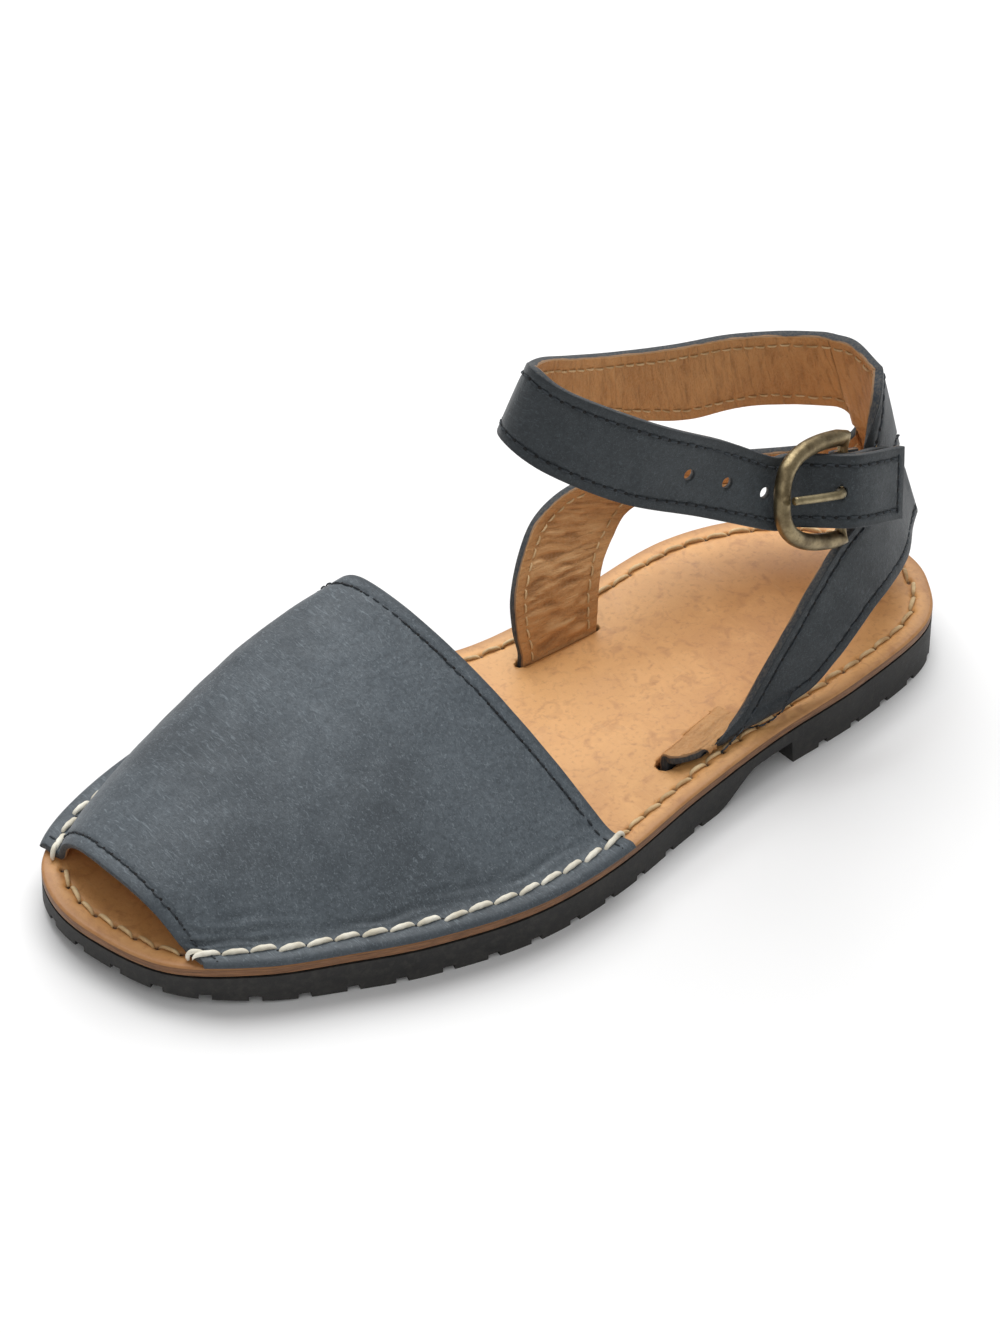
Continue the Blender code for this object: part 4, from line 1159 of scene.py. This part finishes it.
def make_vamp(finishes, white, blue, black):
    grid = vamp_grid()
    columns, rows, _ = grid.shape
    normals = grid_normals(grid)
    pieces = []

    # Hand stitches through both flanges
    holes = []
    for from_end, name in ((True, "vamp_hand_stitches_outer"), (False, "vamp_hand_stitches_inner")):
        path = along_rows(grid, HAND_SEAM.inset - VAMP_INSET + 1.4 * MM, from_end)
        kinds = unit(at_points(path, grid, normals) + (0, 0, 0.4))
        lifted = path + kinds * VAMP_LEATHER / 2
        centres, runs, ups = resample(lifted, kinds, HAND_SEAM.pitch)
        pieces.append(
            stitch_row(name, centres, runs, ups, HAND_SEAM, white, 0.05, 0.13 if from_end else -0.13, 14, 17, arch=0.5, taper=0.55)
        )
        step = np.linalg.norm(np.diff(lifted, axis=0), axis=1).sum() / len(centres)
        ends = np.vstack([centres - runs * step / 2, centres[-1:] + runs[-1:] * step / 2])
        ways = np.vstack([runs, runs[-1:]])
        tips = np.vstack([ups, ups[-1:]])
        pieces.append(needle_hole_shades(f"{name}_holes", ends - tips * 0.30 * MM, ways, tips, 0.75 * MM, 0.85 * MM, black))
        holes.append(ends)
    holes = np.vstack(holes)

    faces = [list(reversed(face)) for face in sheet_faces(columns, rows)]
    steps = np.linalg.norm(np.diff(grid, axis=1), axis=2)
    rises = np.concatenate([np.cumsum(steps[:, ::-1], axis=1)[:, ::-1], np.zeros((columns, 1))], axis=1)
    shares = np.repeat(np.linspace(0, 1, columns)[:, None], rows, axis=1)
    marks = {"share": shares.reshape(-1), "rise": rises.reshape(-1)}
    sheet = Sheet(grid.reshape(-1, 3), faces, marks)
    points = sheet.points
    swell = 0.30 * MM * waves(points, 34 * MM, 11) + 0.10 * MM * waves(points, 11 * MM, 12)
    height = points[:, 2] - np.array([footbed(to_along(x)) for x in points[:, 0]])
    free = np.clip((height - 4 * MM) / (10 * MM), 0, 1)
    swell *= free
    pressed = nearest_distance(points, holes)
    swell -= 0.55 * MM * np.exp(-((pressed / (1.1 * MM)) ** 2))
    seam_away = np.abs(sheet.edge - VAMP_SEAM.inset)
    on_seam = height > 6 * MM
    swell -= on_seam * SEAM_GROOVE * np.exp(-((seam_away / SEAM_GROOVE_WIDTH) ** 2))
    swell += creases(sheet.marks["share"], sheet.marks["rise"])
    sheet.marks["run"] = points[:, 0]
    sheet.marks["across"] = points[:, 1]
    sheet.marks["fold"] = 0 * swell
    vamp_piece = sheet.solid("vamp_leather", VAMP_LEATHER, finishes, outside=swell)
    pieces.append(vamp_piece)

    # The thread's ends go round the vamp's front corners and over its rear ones
    for from_end, side in ((True, "outer"), (False, "inner")):
        path = along_rows(grid, HAND_SEAM.inset - VAMP_INSET + 1.4 * MM, from_end)
        kinds = unit(at_points(path, grid, normals) + (0, 0, 0.4))
        for rear in (False, True):
            first, second = (path[-1], path[-8]) if rear else (path[0], path[8])
            up = kinds[-1] if rear else kinds[0]
            back = unit(first - second)
            half = VAMP_LEATHER / 2 + 0.30 * MM
            spots = [
                first - back * 3.0 * MM + up * (half - 0.6 * MM),
                first - back * 1.6 * MM + up * (half + 0.05 * MM),
                first + back * 0.1 * MM + up * (half + 0.10 * MM),
                first + back * 1.0 * MM + up * 0.2 * MM,
                first + back * 0.95 * MM - up * (half - 0.1 * MM),
            ]
            end = "rear" if rear else "front"
            pieces.append(wrap(f"vamp_thread_end_{side}_{end}", spots, 0.60 * MM, white))

    # Machine rows along the front and the rear edge
    for from_rear, name in ((False, "vamp_front_seam"), (True, "vamp_rear_seam")):
        path = along_rows(grid.transpose(1, 0, 2), VAMP_SEAM.inset, from_rear)
        kinds = at_points(path, grid, normals)
        clear = np.array([p[2] - footbed(to_along(p[0])) > 1.2 * MM for p in path])
        path = path[clear] + kinds[clear] * (VAMP_LEATHER / 2 - 0.15 * MM)
        centres, runs, ups = resample(path, kinds[clear], VAMP_SEAM.pitch)
        pieces.append(stitch_row(name, centres, runs, ups, VAMP_SEAM, blue))
        spots = centres + runs * VAMP_SEAM.pitch / 2
        pieces.append(needle_hole_shades(f"{name}_holes", spots, runs, ups, 0.40 * MM, 0.50 * MM, black))
    return pieces


def wrap(name, spots, radius, finish):
    """One thread through the given points, its ends tucked in."""
    line = smooth_through([np.array(spot) for spot in spots], 8)
    share = np.linspace(-1, 1, len(line))
    radii = radius * (1 - 0.45 * np.abs(share) ** 4)
    points, faces = tube(line, radii, 14)
    return as_mesh(name, points, faces, [finish], marks={"along": np.repeat(share, 14)})


# Creases pressed into the vamp by hand above its outer seam. Start and end are places on the
# leather: the share of the way from the front edge to the rear, and how far up from the outer rim.
Crease = namedtuple("Crease", "start end deep wide")
CREASE_FIELD = 95 * MM
CREASES = [
    Crease((0.01, 9.6 * MM), (0.20, 9.2 * MM), 0.50 * MM, 0.8 * MM),
    Crease((0.05, 12.4 * MM), (0.27, 11.4 * MM), 0.34 * MM, 0.9 * MM),
    Crease((0.11, 16.0 * MM), (0.30, 14.4 * MM), 0.22 * MM, 1.2 * MM),
    Crease((0.33, 9.2 * MM), (0.53, 9.8 * MM), 0.34 * MM, 0.8 * MM),
    Crease((0.47, 12.2 * MM), (0.70, 11.0 * MM), 0.28 * MM, 0.9 * MM),
    Crease((0.64, 9.0 * MM), (0.86, 9.8 * MM), 0.36 * MM, 0.8 * MM),
    Crease((0.78, 13.0 * MM), (0.94, 11.6 * MM), 0.22 * MM, 1.0 * MM),
]


def creases(shares, rises):
    """How far the creases move the leather out at each place on it."""
    points = np.stack([shares * CREASE_FIELD, rises], axis=1)
    moved = np.zeros(len(points))
    for crease in CREASES:
        start = np.array([crease.start[0] * CREASE_FIELD, crease.start[1]])
        end = np.array([crease.end[0] * CREASE_FIELD, crease.end[1]])
        share = np.clip((points - start) @ (end - start) / np.sum((end - start) ** 2), 0, 1)
        spot = start + share[:, None] * (end - start)
        spot[:, 1] += 0.5 * MM * np.sin(9 * share + 40 * crease.deep / MM)
        away = np.linalg.norm(points - spot, axis=1)
        fade = np.sin(math.pi * np.clip(share, 0.03, 0.97)) ** 0.6
        moved -= crease.deep * fade * np.exp(-((away / crease.wide) ** 2))
        moved += 0.45 * crease.deep * fade * np.exp(-(((away - 2.2 * crease.wide) / crease.wide) ** 2))
    return moved


def ankle_sheet():
    shares = np.concatenate([np.linspace(0, 0.2, 9), np.linspace(0.2, 0.8, 9)[1:-1], np.linspace(0.8, 1, 9)])
    rows = len(shares)
    points = []
    faces = []
    marks = []
    crosses = []

    def add(columns, flip=False, walked=0.0):
        start = len(points)
        middle = (columns[:, :3] + columns[:, 3:]) / 2
        run = np.concatenate([[0], np.cumsum(np.linalg.norm(np.diff(middle, axis=0), axis=1))]) + walked
        for column, distance in zip(columns, run):
            points.extend(column[:3] + share * (column[3:] - column[:3]) for share in shares)
            marks.extend([distance] * rows)
            crosses.extend(shares * np.linalg.norm(column[3:] - column[:3]))
        made = sheet_faces(len(columns), rows, start)
        faces.extend([list(reversed(face)) for face in made] if flip else made)

    back = [smooth_through([place(*s) for s in line], 12) for line in (BACK_LOW, BACK_MIDDLE, BACK_HIGH)]
    add(np.array([np.concatenate([low, middle]) for low, middle in zip(back[0], back[1])]))
    add(np.array([np.concatenate([middle, high]) for middle, high in zip(back[1], back[2])]))
    for side, arm in ((0, OUTER_ARM), (2, INNER_ARM)):
        flip = side == 0
        arm_top, ring_low = notch_edges(side)
        first = np.concatenate([place(*BACK_LOW[side]), arm_top])
        foot = edges_of(arm[0])
        foot[2] = insole_under(arm[0].low_along) + CLEARANCE
        foot[5] = insole_under(arm[0].high_along) + CLEARANCE
        stations = [first] + [edges_of(station) for station in reversed(arm)] + [foot]
        add(limb(stations, place(*BACK_MIDDLE[side]), meets_low=False), flip)
        first = np.concatenate([ring_low, place(*BACK_HIGH[side])])
        if side:
            stations = [first] + [edges_of(station) for station in RING]
            stations += [band_edges(*layer, BAND_WIDTH, lift_at(layer)) for layer in STRAP_ROUTE]
        else:
            stations = [first] + [edges_of(station) for station in RING_END]
            stations += [band_edges(-RING_END_GAP, -1.25 * STRAP_LEATHER, BUCKLE_STRAP_WIDTH)]
        add(limb(stations, place(*BACK_MIDDLE[side]), meets_low=True), flip)
    return Sheet(points, faces, {"run": marks, "across": crosses})


# The inner arm's lining is creased where the foot bends it
WRINKLED = place(0.40, -0.235, 0.17)
WRINKLE_REACH = 26 * MM


def make_ankle(finishes, blue, tan, black):
    sheet = ankle_sheet()
    points = sheet.points
    groove = SEAM_GROOVE * np.exp(-(((sheet.edge - STRAP_SEAM.inset) / SEAM_GROOVE_WIDTH) ** 2))
    outside = 0.12 * MM * waves(points, 19 * MM, 21) - groove
    groove = SEAM_GROOVE * np.exp(-(((sheet.edge - LINING_SEAM.inset) / SEAM_GROOVE_WIDTH) ** 2))
    inside = 0.10 * MM * waves(points, 13 * MM, 22) - groove
    wrinkle = np.stack([sheet.marks["run"], 0.22 * sheet.marks["across"], 0 * points[:, 0]], axis=1)
    wrinkle[:, 0] += 0.9 * MM * waves(points, 9 * MM, 27)
    worn = np.exp(-(((points - WRINKLED) / WRINKLE_REACH) ** 2).sum(axis=1))
    inner_field = np.clip((sheet.edge - 2.2 * MM) / (2.5 * MM), 0.15, 1)
    folds = (0.09 + 0.34 * worn) * waves(wrinkle, 2.5 * MM, 23, 26)
    folds += (0.04 + 0.16 * worn) * waves(wrinkle, 1.5 * MM, 24, 26)
    folds *= inner_field * MM
    inside += folds
    sheet.marks["fold"] = folds
    piece = sheet.solid("ankle_leather", STRAP_LEATHER, finishes, outside=outside, inside=inside)
    combine(piece, "strap_holes", *strap_holes(24), "DIFFERENCE")
    cut = tube(prong_line(), PRONG_WIRE + CLEARANCE, 16)
    combine(piece, "prong_hole", *cut, "DIFFERENCE")
    pieces = [piece]

    sides = (
        ("strap_seam_outside", STRAP_SEAM, STRAP_LEATHER / 2 - 0.15 * MM, blue),
        ("strap_seam_lining", LINING_SEAM, -STRAP_LEATHER / 2 + 0.15 * MM, tan),
    )
    for name, seam, lift, finish in sides:
        path, kinds = sheet.rim_path(seam.inset, lift)
        kinds = kinds * math.copysign(1, lift)
        for _ in range(3):
            path = (np.roll(path, 1, axis=0) + path + np.roll(path, -1, axis=0)) / 3
        centres, runs, ups = resample(path, kinds, seam.pitch, closed=True)
        low = (0.8 if finish is blue else 1.6) * MM
        clear = np.array([spot[2] > footbed(to_along(spot[0])) + low for spot in centres])
        if finish is tan:
            clear &= (centres[:, 1] < 0) | (centres[:, 2] > 34 * MM)
        clear &= well_inside(sheet, centres - ups * abs(lift), seam.inset)
        centres, runs, ups = centres[clear], runs[clear], ups[clear]
        pieces.append(stitch_row(name, centres, runs, ups, seam, finish))
        if finish is blue:
            spots = centres + runs * seam.pitch / 2
            pieces.append(needle_hole_shades(f"{name}_holes", spots, runs, ups, 0.40 * MM, 0.50 * MM, black))
    return pieces


# The open holes are punched a little forward and down, as the strap leans there
HOLE_WAY = (0.34, 0.82, 0.30)


def strap_holes(sides):
    """Tools for the open holes, counted forward along the strap from the prong's own hole."""
    middle = ring_middle()
    prong = prong_line()
    start = np.argmin(np.linalg.norm(middle - prong[len(prong) // 3], axis=1))
    walked = np.concatenate([[0], np.cumsum(np.linalg.norm(np.diff(middle, axis=0), axis=1))])
    points = []
    faces = []
    for i in range(OPEN_HOLES):
        wanted = walked[start] - FIRST_HOLE - i * HOLE_PITCH
        spot = np.array([np.interp(wanted, walked, middle[:, axis]) for axis in range(3)])
        reach = 3 * STRAP_LEATHER * unit(np.array(HOLE_WAY))
        more, more_faces = tube([spot - reach, spot + reach], 1.04 * HOLE_RADIUS, sides)
        faces += [[len(points) + corner for corner in face] for face in more_faces]
        points += more
    return points, faces


def toe_wear_and_shade(points):
    """How far the insole is darkened at the toes: most under the vamp, where the shade inside the toe mouth is
    painted, less in front of it, where only the toe wear is.
    """
    spread = np.clip(points[:, 1] / BALL_WIDTH + 0.5, 0, 1)
    front = to_x(VAMP[0].inner) + spread * (to_x(VAMP[0].outer) - to_x(VAMP[0].inner))
    rear = to_x(VAMP[-1].inner) + spread * (to_x(VAMP[-1].outer) - to_x(VAMP[-1].inner))
    inside = np.minimum((front - points[:, 0]) / (14 * MM), (points[:, 0] - rear) / (30 * MM))
    before = np.clip((points[:, 0] - rear) / (30 * MM), 0, 1)
    return np.maximum(0.66 * np.clip(inside, 0, 1), 0.24 * before)


def make_insole(finish, tan):
    """The insole board with its rounded burnished edge, its seam and its two slots."""
    loop, outward = outline()
    count = len(loop)

    def ring(inset, high):
        flat = loop - outward * inset
        return [(x, y, insole_under(to_along(x)) + high) for x, y in flat]

    seam_path = np.array(ring(SOLE_SEAM.inset, INSOLE_LEATHER))
    ups = np.tile((0.0, 0.0, 1.0), (count, 1))
    centres, runs, kinds = resample(seam_path, ups, SOLE_SEAM.pitch, closed=True)
    ends = centres - runs * SOLE_SEAM.pitch / 2

    top = INSOLE_LEATHER
    levels = [(0.35, 0.0), (0.08, 0.25), (0.0, 0.7), (0.0, 1.3), (0.0, 1.9), (0.12, 2.35), (0.38, 2.6)]
    levels = [(inset * MM, high * MM) for inset, high in levels] + [(0.8 * MM, top)]
    groove = 0.22 * MM
    for inset in (1.6, 2.6, 3.3, 3.8, 4.1, 4.35, 4.6, 4.8, 5.0, 5.2, 5.4, 5.65, 5.9, 6.3, 7.0, 7.8):
        away = (inset * MM - SOLE_SEAM.inset) / (0.7 * MM)
        levels.append((inset * MM, top - groove * math.exp(-away * away)))
    points = []
    inset_marks = []
    wall_marks = []
    for inset, high in levels:
        points += ring(inset, high)
        inset_marks += [inset] * count
        wall_marks += [1.0 if high < 2.2 * MM and inset < 0.5 * MM else 0.0] * count
    last = np.array(points[-count:])
    spine = last.copy()
    spine[:, 0] = np.clip(last[:, 0], to_x(0.13), to_x(0.86))
    for i, x in enumerate(spine[:, 0]):
        near = np.abs(last[:, 0] - x) < 4 * MM
        spine[i, 1] = (last[near, 1].max() + last[near, 1].min()) / 2
    for share in np.linspace(0, 0.93, 22)[1:]:
        flat = last + (spine - last) * share
        points += [(x, y, footbed(to_along(x))) for x, y, _ in flat]
        inset_marks += [9 * MM] * count
        wall_marks += [0.0] * count
    faces = []
    rings = len(points) // count
    for k in range(rings - 1):
        a, b = k * count, (k + 1) * count
        faces += [[a + i, a + (i + 1) % count, b + (i + 1) % count, b + i] for i in range(count)]
    faces.append([(rings - 1) * count + i for i in range(count)])
    faces.append([i for i in reversed(range(count))])
    points = np.array(points)
    away = nearest_distance(points, ends)
    # How deep each stitch hole dips; the same mask paints shade into the dip
    hole_dip_and_shade = np.exp(-((away / (0.74 * MM)) ** 2))
    points[:, 2] -= 0.9 * MM * hole_dip_and_shade
    upper = points[:, 2] > np.array([insole_under(to_along(x)) for x in points[:, 0]]) + 1.2 * MM
    points[:, 2] += upper * 0.12 * MM * waves(points, 30 * MM, 31)
    # worn holds the toe wear and the painted shade under the vamp
    marks = {"inset": inset_marks, "hole_dip_and_shade": hole_dip_and_shade, "wall": wall_marks, "worn": toe_wear_and_shade(points)}
    piece = as_mesh("insole_leather", points, faces, [finish], marks=marks)
    combine(piece, "outer_slot", *slot_cut(OUTER_ARM, SLOT_WIDTH), "DIFFERENCE")
    combine(piece, "inner_slot", *slot_cut(INNER_ARM, STRAP_LEATHER + 0.5 * MM), "DIFFERENCE")

    covered = []
    for spot in centres:
        along = to_along(spot[0])
        side = 1 if spot[1] > 0.0 else -1
        front = VAMP[0].outer if side > 0 else VAMP[0].inner
        rear = VAMP[-1].outer if side > 0 else VAMP[-1].inner
        covered.append(rear - 0.004 < along < front - 0.002)
    clear = ~np.array(covered)
    sewn = centres[clear] - (0, 0, 0.6 * groove)
    seam = stitch_row("sole_seam", sewn, runs[clear], kinds[clear], SOLE_SEAM, tan, 0.15, -0.14, 10, 13, arch=0.8, taper=0.4)
    return [piece, seam]


def make_outsole(finish):
    stations = [-0.02 + 1.04 * i / 60 for i in range(61)]
    upper_line = [(to_x(a), rubber_top(a)) for a in stations]
    loop, _ = outline()
    piece = as_mesh("outsole_rubber", *side_slab(upper_line + underside()), [finish])
    close_up(piece)
    combine(piece, "outline", *prism(loop, -0.01, 0.05), "INTERSECT")
    combine(piece, "lugs", *lug_cuts(), "DIFFERENCE")
    change = piece.modifiers.new("edges", "BEVEL")
    change.width = 0.45 * MM
    change.segments = 2
    change.limit_method = "ANGLE"
    change.angle_limit = math.radians(40)
    change.harden_normals = True
    apply_modifiers(piece)
    for face in piece.data.polygons:
        face.use_smooth = True
    return piece


def close_up(piece):
    work = bmesh.new()
    work.from_mesh(piece.data)
    bmesh.ops.recalc_face_normals(work, faces=work.faces)
    work.to_mesh(piece.data)
    work.free()


def make_buckle_leather(finishes):
    turn = BAR_WIRE + CLEARANCE + BUCKLE_STRAP_LEATHER / 2
    outer = [
        Layer(-BUCKLE_STRAP_LAP, 0.4 * MM),
        Layer(-RING_END_GAP, 0.1 * MM),
        Layer(-0.6 * RING_END_GAP, 0.45 * turn),
        Layer(-0.25 * RING_END_GAP, 0.9 * turn),
    ]
    fold = [Layer(turn * math.sin(a), turn * math.cos(a)) for a in np.linspace(0, math.pi, 17)]
    inner = [Layer(-0.3 * RING_END_GAP, -turn), Layer(-0.7 * RING_END_GAP, -turn)]
    route = smooth_through(outer + fold[:1], 10)[:-1].tolist() + fold + inner
    columns = [band_edges(*layer, BUCKLE_STRAP_WIDTH) for layer in route]
    shares = np.linspace(0, 1, 15)
    grid = [c[:3] + s * (c[3:] - c[:3]) for c in columns for s in shares]
    sheet = Sheet(grid, [list(reversed(face)) for face in sheet_faces(len(columns), len(shares))])
    piece = sheet.solid("buckle_leather", BUCKLE_STRAP_LEATHER, finishes)
    corners = [
        at_buckle(f, o, u)
        for f in (-2.2 * turn, 3 * turn)
        for o in (-3 * turn, 3 * turn)
        for u in (-PRONG_SLOT / 2, PRONG_SLOT / 2)
    ]
    box = [[0, 1, 3, 2], [4, 5, 7, 6], [0, 1, 5, 4], [2, 3, 7, 6], [0, 2, 6, 4], [1, 3, 7, 5]]
    combine(piece, "prong_slot", corners, box, "DIFFERENCE")
    return piece


def make_frame(finish):
    half = BAND_WIDTH / 2 + FRAME_ROOM + FRAME_WIRE
    line = []
    radii = []
    roundness = 2 / 2.8
    for turn in np.linspace(math.pi / 2, -math.pi / 2, 81):
        forward = FRAME_LENGTH * abs(math.cos(turn)) ** roundness
        upward = half * math.copysign(abs(math.sin(turn)) ** roundness, math.sin(turn))
        line.append(at_buckle(forward, FRAME_TILT * forward / FRAME_LENGTH, upward))
        radii.append(FRAME_WIRE)
    for share in np.linspace(-0.8, 0.8, 15):
        line.append(at_buckle(0, 0, share * half))
        radii.append(BAR_WIRE)
    points, faces = tube(line, radii, 24, closed=True)
    piece = as_mesh("buckle_frame_brass", points, faces, [finish])
    combine(piece, "prong_rest", *tube(prong_line(0.12), PRONG_WIRE + CLEARANCE, 16), "DIFFERENCE")
    return piece


def make_prong(finish):
    line = prong_line(steps=12)
    taper = np.linspace(1.0, 0.85, len(line))
    points, faces = tube(line, PRONG_WIRE * taper, 20)
    piece = as_mesh("buckle_prong_brass", points, faces, [finish])
    eye_radius = BAR_WIRE + CLEARANCE + PRONG_WIRE
    circle = [
        at_buckle(eye_radius * math.cos(a), eye_radius * math.sin(a))
        for a in np.linspace(0, 2 * math.pi, 49)[:-1]
    ]
    combine(piece, "prong_eye", *eye_ring(circle), "UNION")
    return piece


def make_stage():
    """A plain pale floor, soft light from above and the camera of the photograph."""
    floor = as_mesh("floor", [(-4, -4, 0), (4, -4, 0), (4, 4, 0), (-4, 4, 0)], [[0, 1, 2, 3]], [])
    finish = Finish("Pale floor", roughness=0.9)
    shade = finish.noise(0.5, 2)
    floor.data.materials.append(finish.done(finish.blend(shade, (0.89, 0.89, 0.89, 1), (0.90, 0.90, 0.90, 1))))

    world = bpy.data.worlds.new("Studio")
    world.use_nodes = True
    sky = world.node_tree.nodes["Background"]
    sky.inputs["Color"].default_value = (1.0, 1.0, 1.0, 1.0)
    sky.inputs["Strength"].default_value = 0.38
    bpy.context.scene.world = world
    for name, size, power, spot in LAMPS:
        light = bpy.data.lights.new(name, "AREA")
        light.shape = "DISK"
        light.size = size
        light.energy = power
        lamp = bpy.data.objects.new(name, light)
        lamp.location = spot
        aim = Vector((0.09, 0.0, 0.03)) - Vector(spot)
        lamp.rotation_euler = aim.to_track_quat("-Z", "Y").to_euler()
        bpy.context.scene.collection.objects.link(lamp)

    forward = -np.array([
        math.cos(CAMERA_AZIMUTH) * math.cos(CAMERA_ELEVATION),
        math.sin(CAMERA_AZIMUTH) * math.cos(CAMERA_ELEVATION),
        math.sin(CAMERA_ELEVATION),
    ])
    right = np.array([-math.sin(CAMERA_AZIMUTH), math.cos(CAMERA_AZIMUTH), 0.0])
    up = np.cross(right, forward)
    position = np.array(CAMERA_AIM) - forward * CAMERA_DISTANCE
    look = unit(forward + right * CAMERA_PAN_RIGHT - up * CAMERA_PAN_DOWN)
    right = unit(right - look * (right @ look))
    up = np.cross(right, look)
    camera = bpy.data.cameras.new("camera")
    camera.sensor_fit = "HORIZONTAL"
    camera.sensor_width = 36
    camera.lens = CAMERA_LENS
    camera.clip_end = 20
    eye = bpy.data.objects.new("camera", camera)
    axes = np.stack([right, up, -look], axis=1)
    matrix = Matrix([[*axes[k], position[k]] for k in range(3)] + [[0, 0, 0, 1]])
    eye.matrix_world = matrix
    bpy.context.scene.collection.objects.link(eye)
    bpy.context.scene.camera = eye
    bpy.context.scene.view_settings.view_transform = "Standard"


def main():
    outer = nubuck("Blue nubuck", paint(83, 92, 99), paint(51, 58, 64), paint(116, 126, 133))
    strap = nubuck("Blue nubuck strap", paint(50, 57, 61), paint(29, 34, 38), paint(74, 82, 87), 0.7)
    dark = nubuck("Dark leather", paint(52, 56, 60), paint(34, 37, 41), paint(66, 71, 76), 1.9)
    tan_lining = lining("Tan lining")
    edge = cut_edge("Cut edge", paint(44, 51, 58), paint(150, 116, 82))
    white = thread("White waxed thread", paint(240, 236, 222), paint(206, 198, 178))
    blue = thread("Dark blue thread", paint(50, 57, 63), paint(32, 37, 42))
    # Near-black finish of the painted shade in the needle holes
    black = Finish("Painted needle hole shade", 0.9)
    black = black.done(black.blend(black.noise(2 * MM), paint(12, 13, 15), paint(22, 21, 21)))
    tan = thread("Tan thread", paint(226, 200, 154), paint(186, 152, 106))
    pieces = {
        "vamp": make_vamp([outer, edge, tan_lining], white, blue, black),
        "ankle_upper": make_ankle([strap, edge, tan_lining], blue, tan, black),
        "insole": make_insole(board("Insole leather"), tan),
        "outsole": [make_outsole(rubber("Black rubber"))],
        "buckle_strap": [make_buckle_leather([dark, edge, dark])],
        "buckle_frame": [make_frame(brass("Old brass", paint(168, 152, 118), paint(102, 89, 66)))],
        "buckle_prong": [make_prong(brass("Rubbed brass", paint(176, 162, 128), paint(112, 100, 74)))],
    }
    for node, made in pieces.items():
        for piece in made:
            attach(piece, "root")
            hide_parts(node)
    make_stage()


# The photograph's camera, moved over and widened a little so that the whole shoe is in view
CAMERA_AZIMUTH = math.radians(51.56)
CAMERA_ELEVATION = math.radians(36.62)
CAMERA_DISTANCE = 1292.43 * MM
CAMERA_AIM = (73.22 * MM, -75.89 * MM, -2.4 * MM)
CAMERA_PAN_RIGHT = 0.02523
CAMERA_PAN_DOWN = 0.01033
CAMERA_LENS = 186.1
LAMPS = [
    ("key", 1.7, 31.0, (-0.40, -0.70, 1.35)),
    ("fill", 1.5, 4.0, (0.9, 0.9, 1.0)),
]

main()
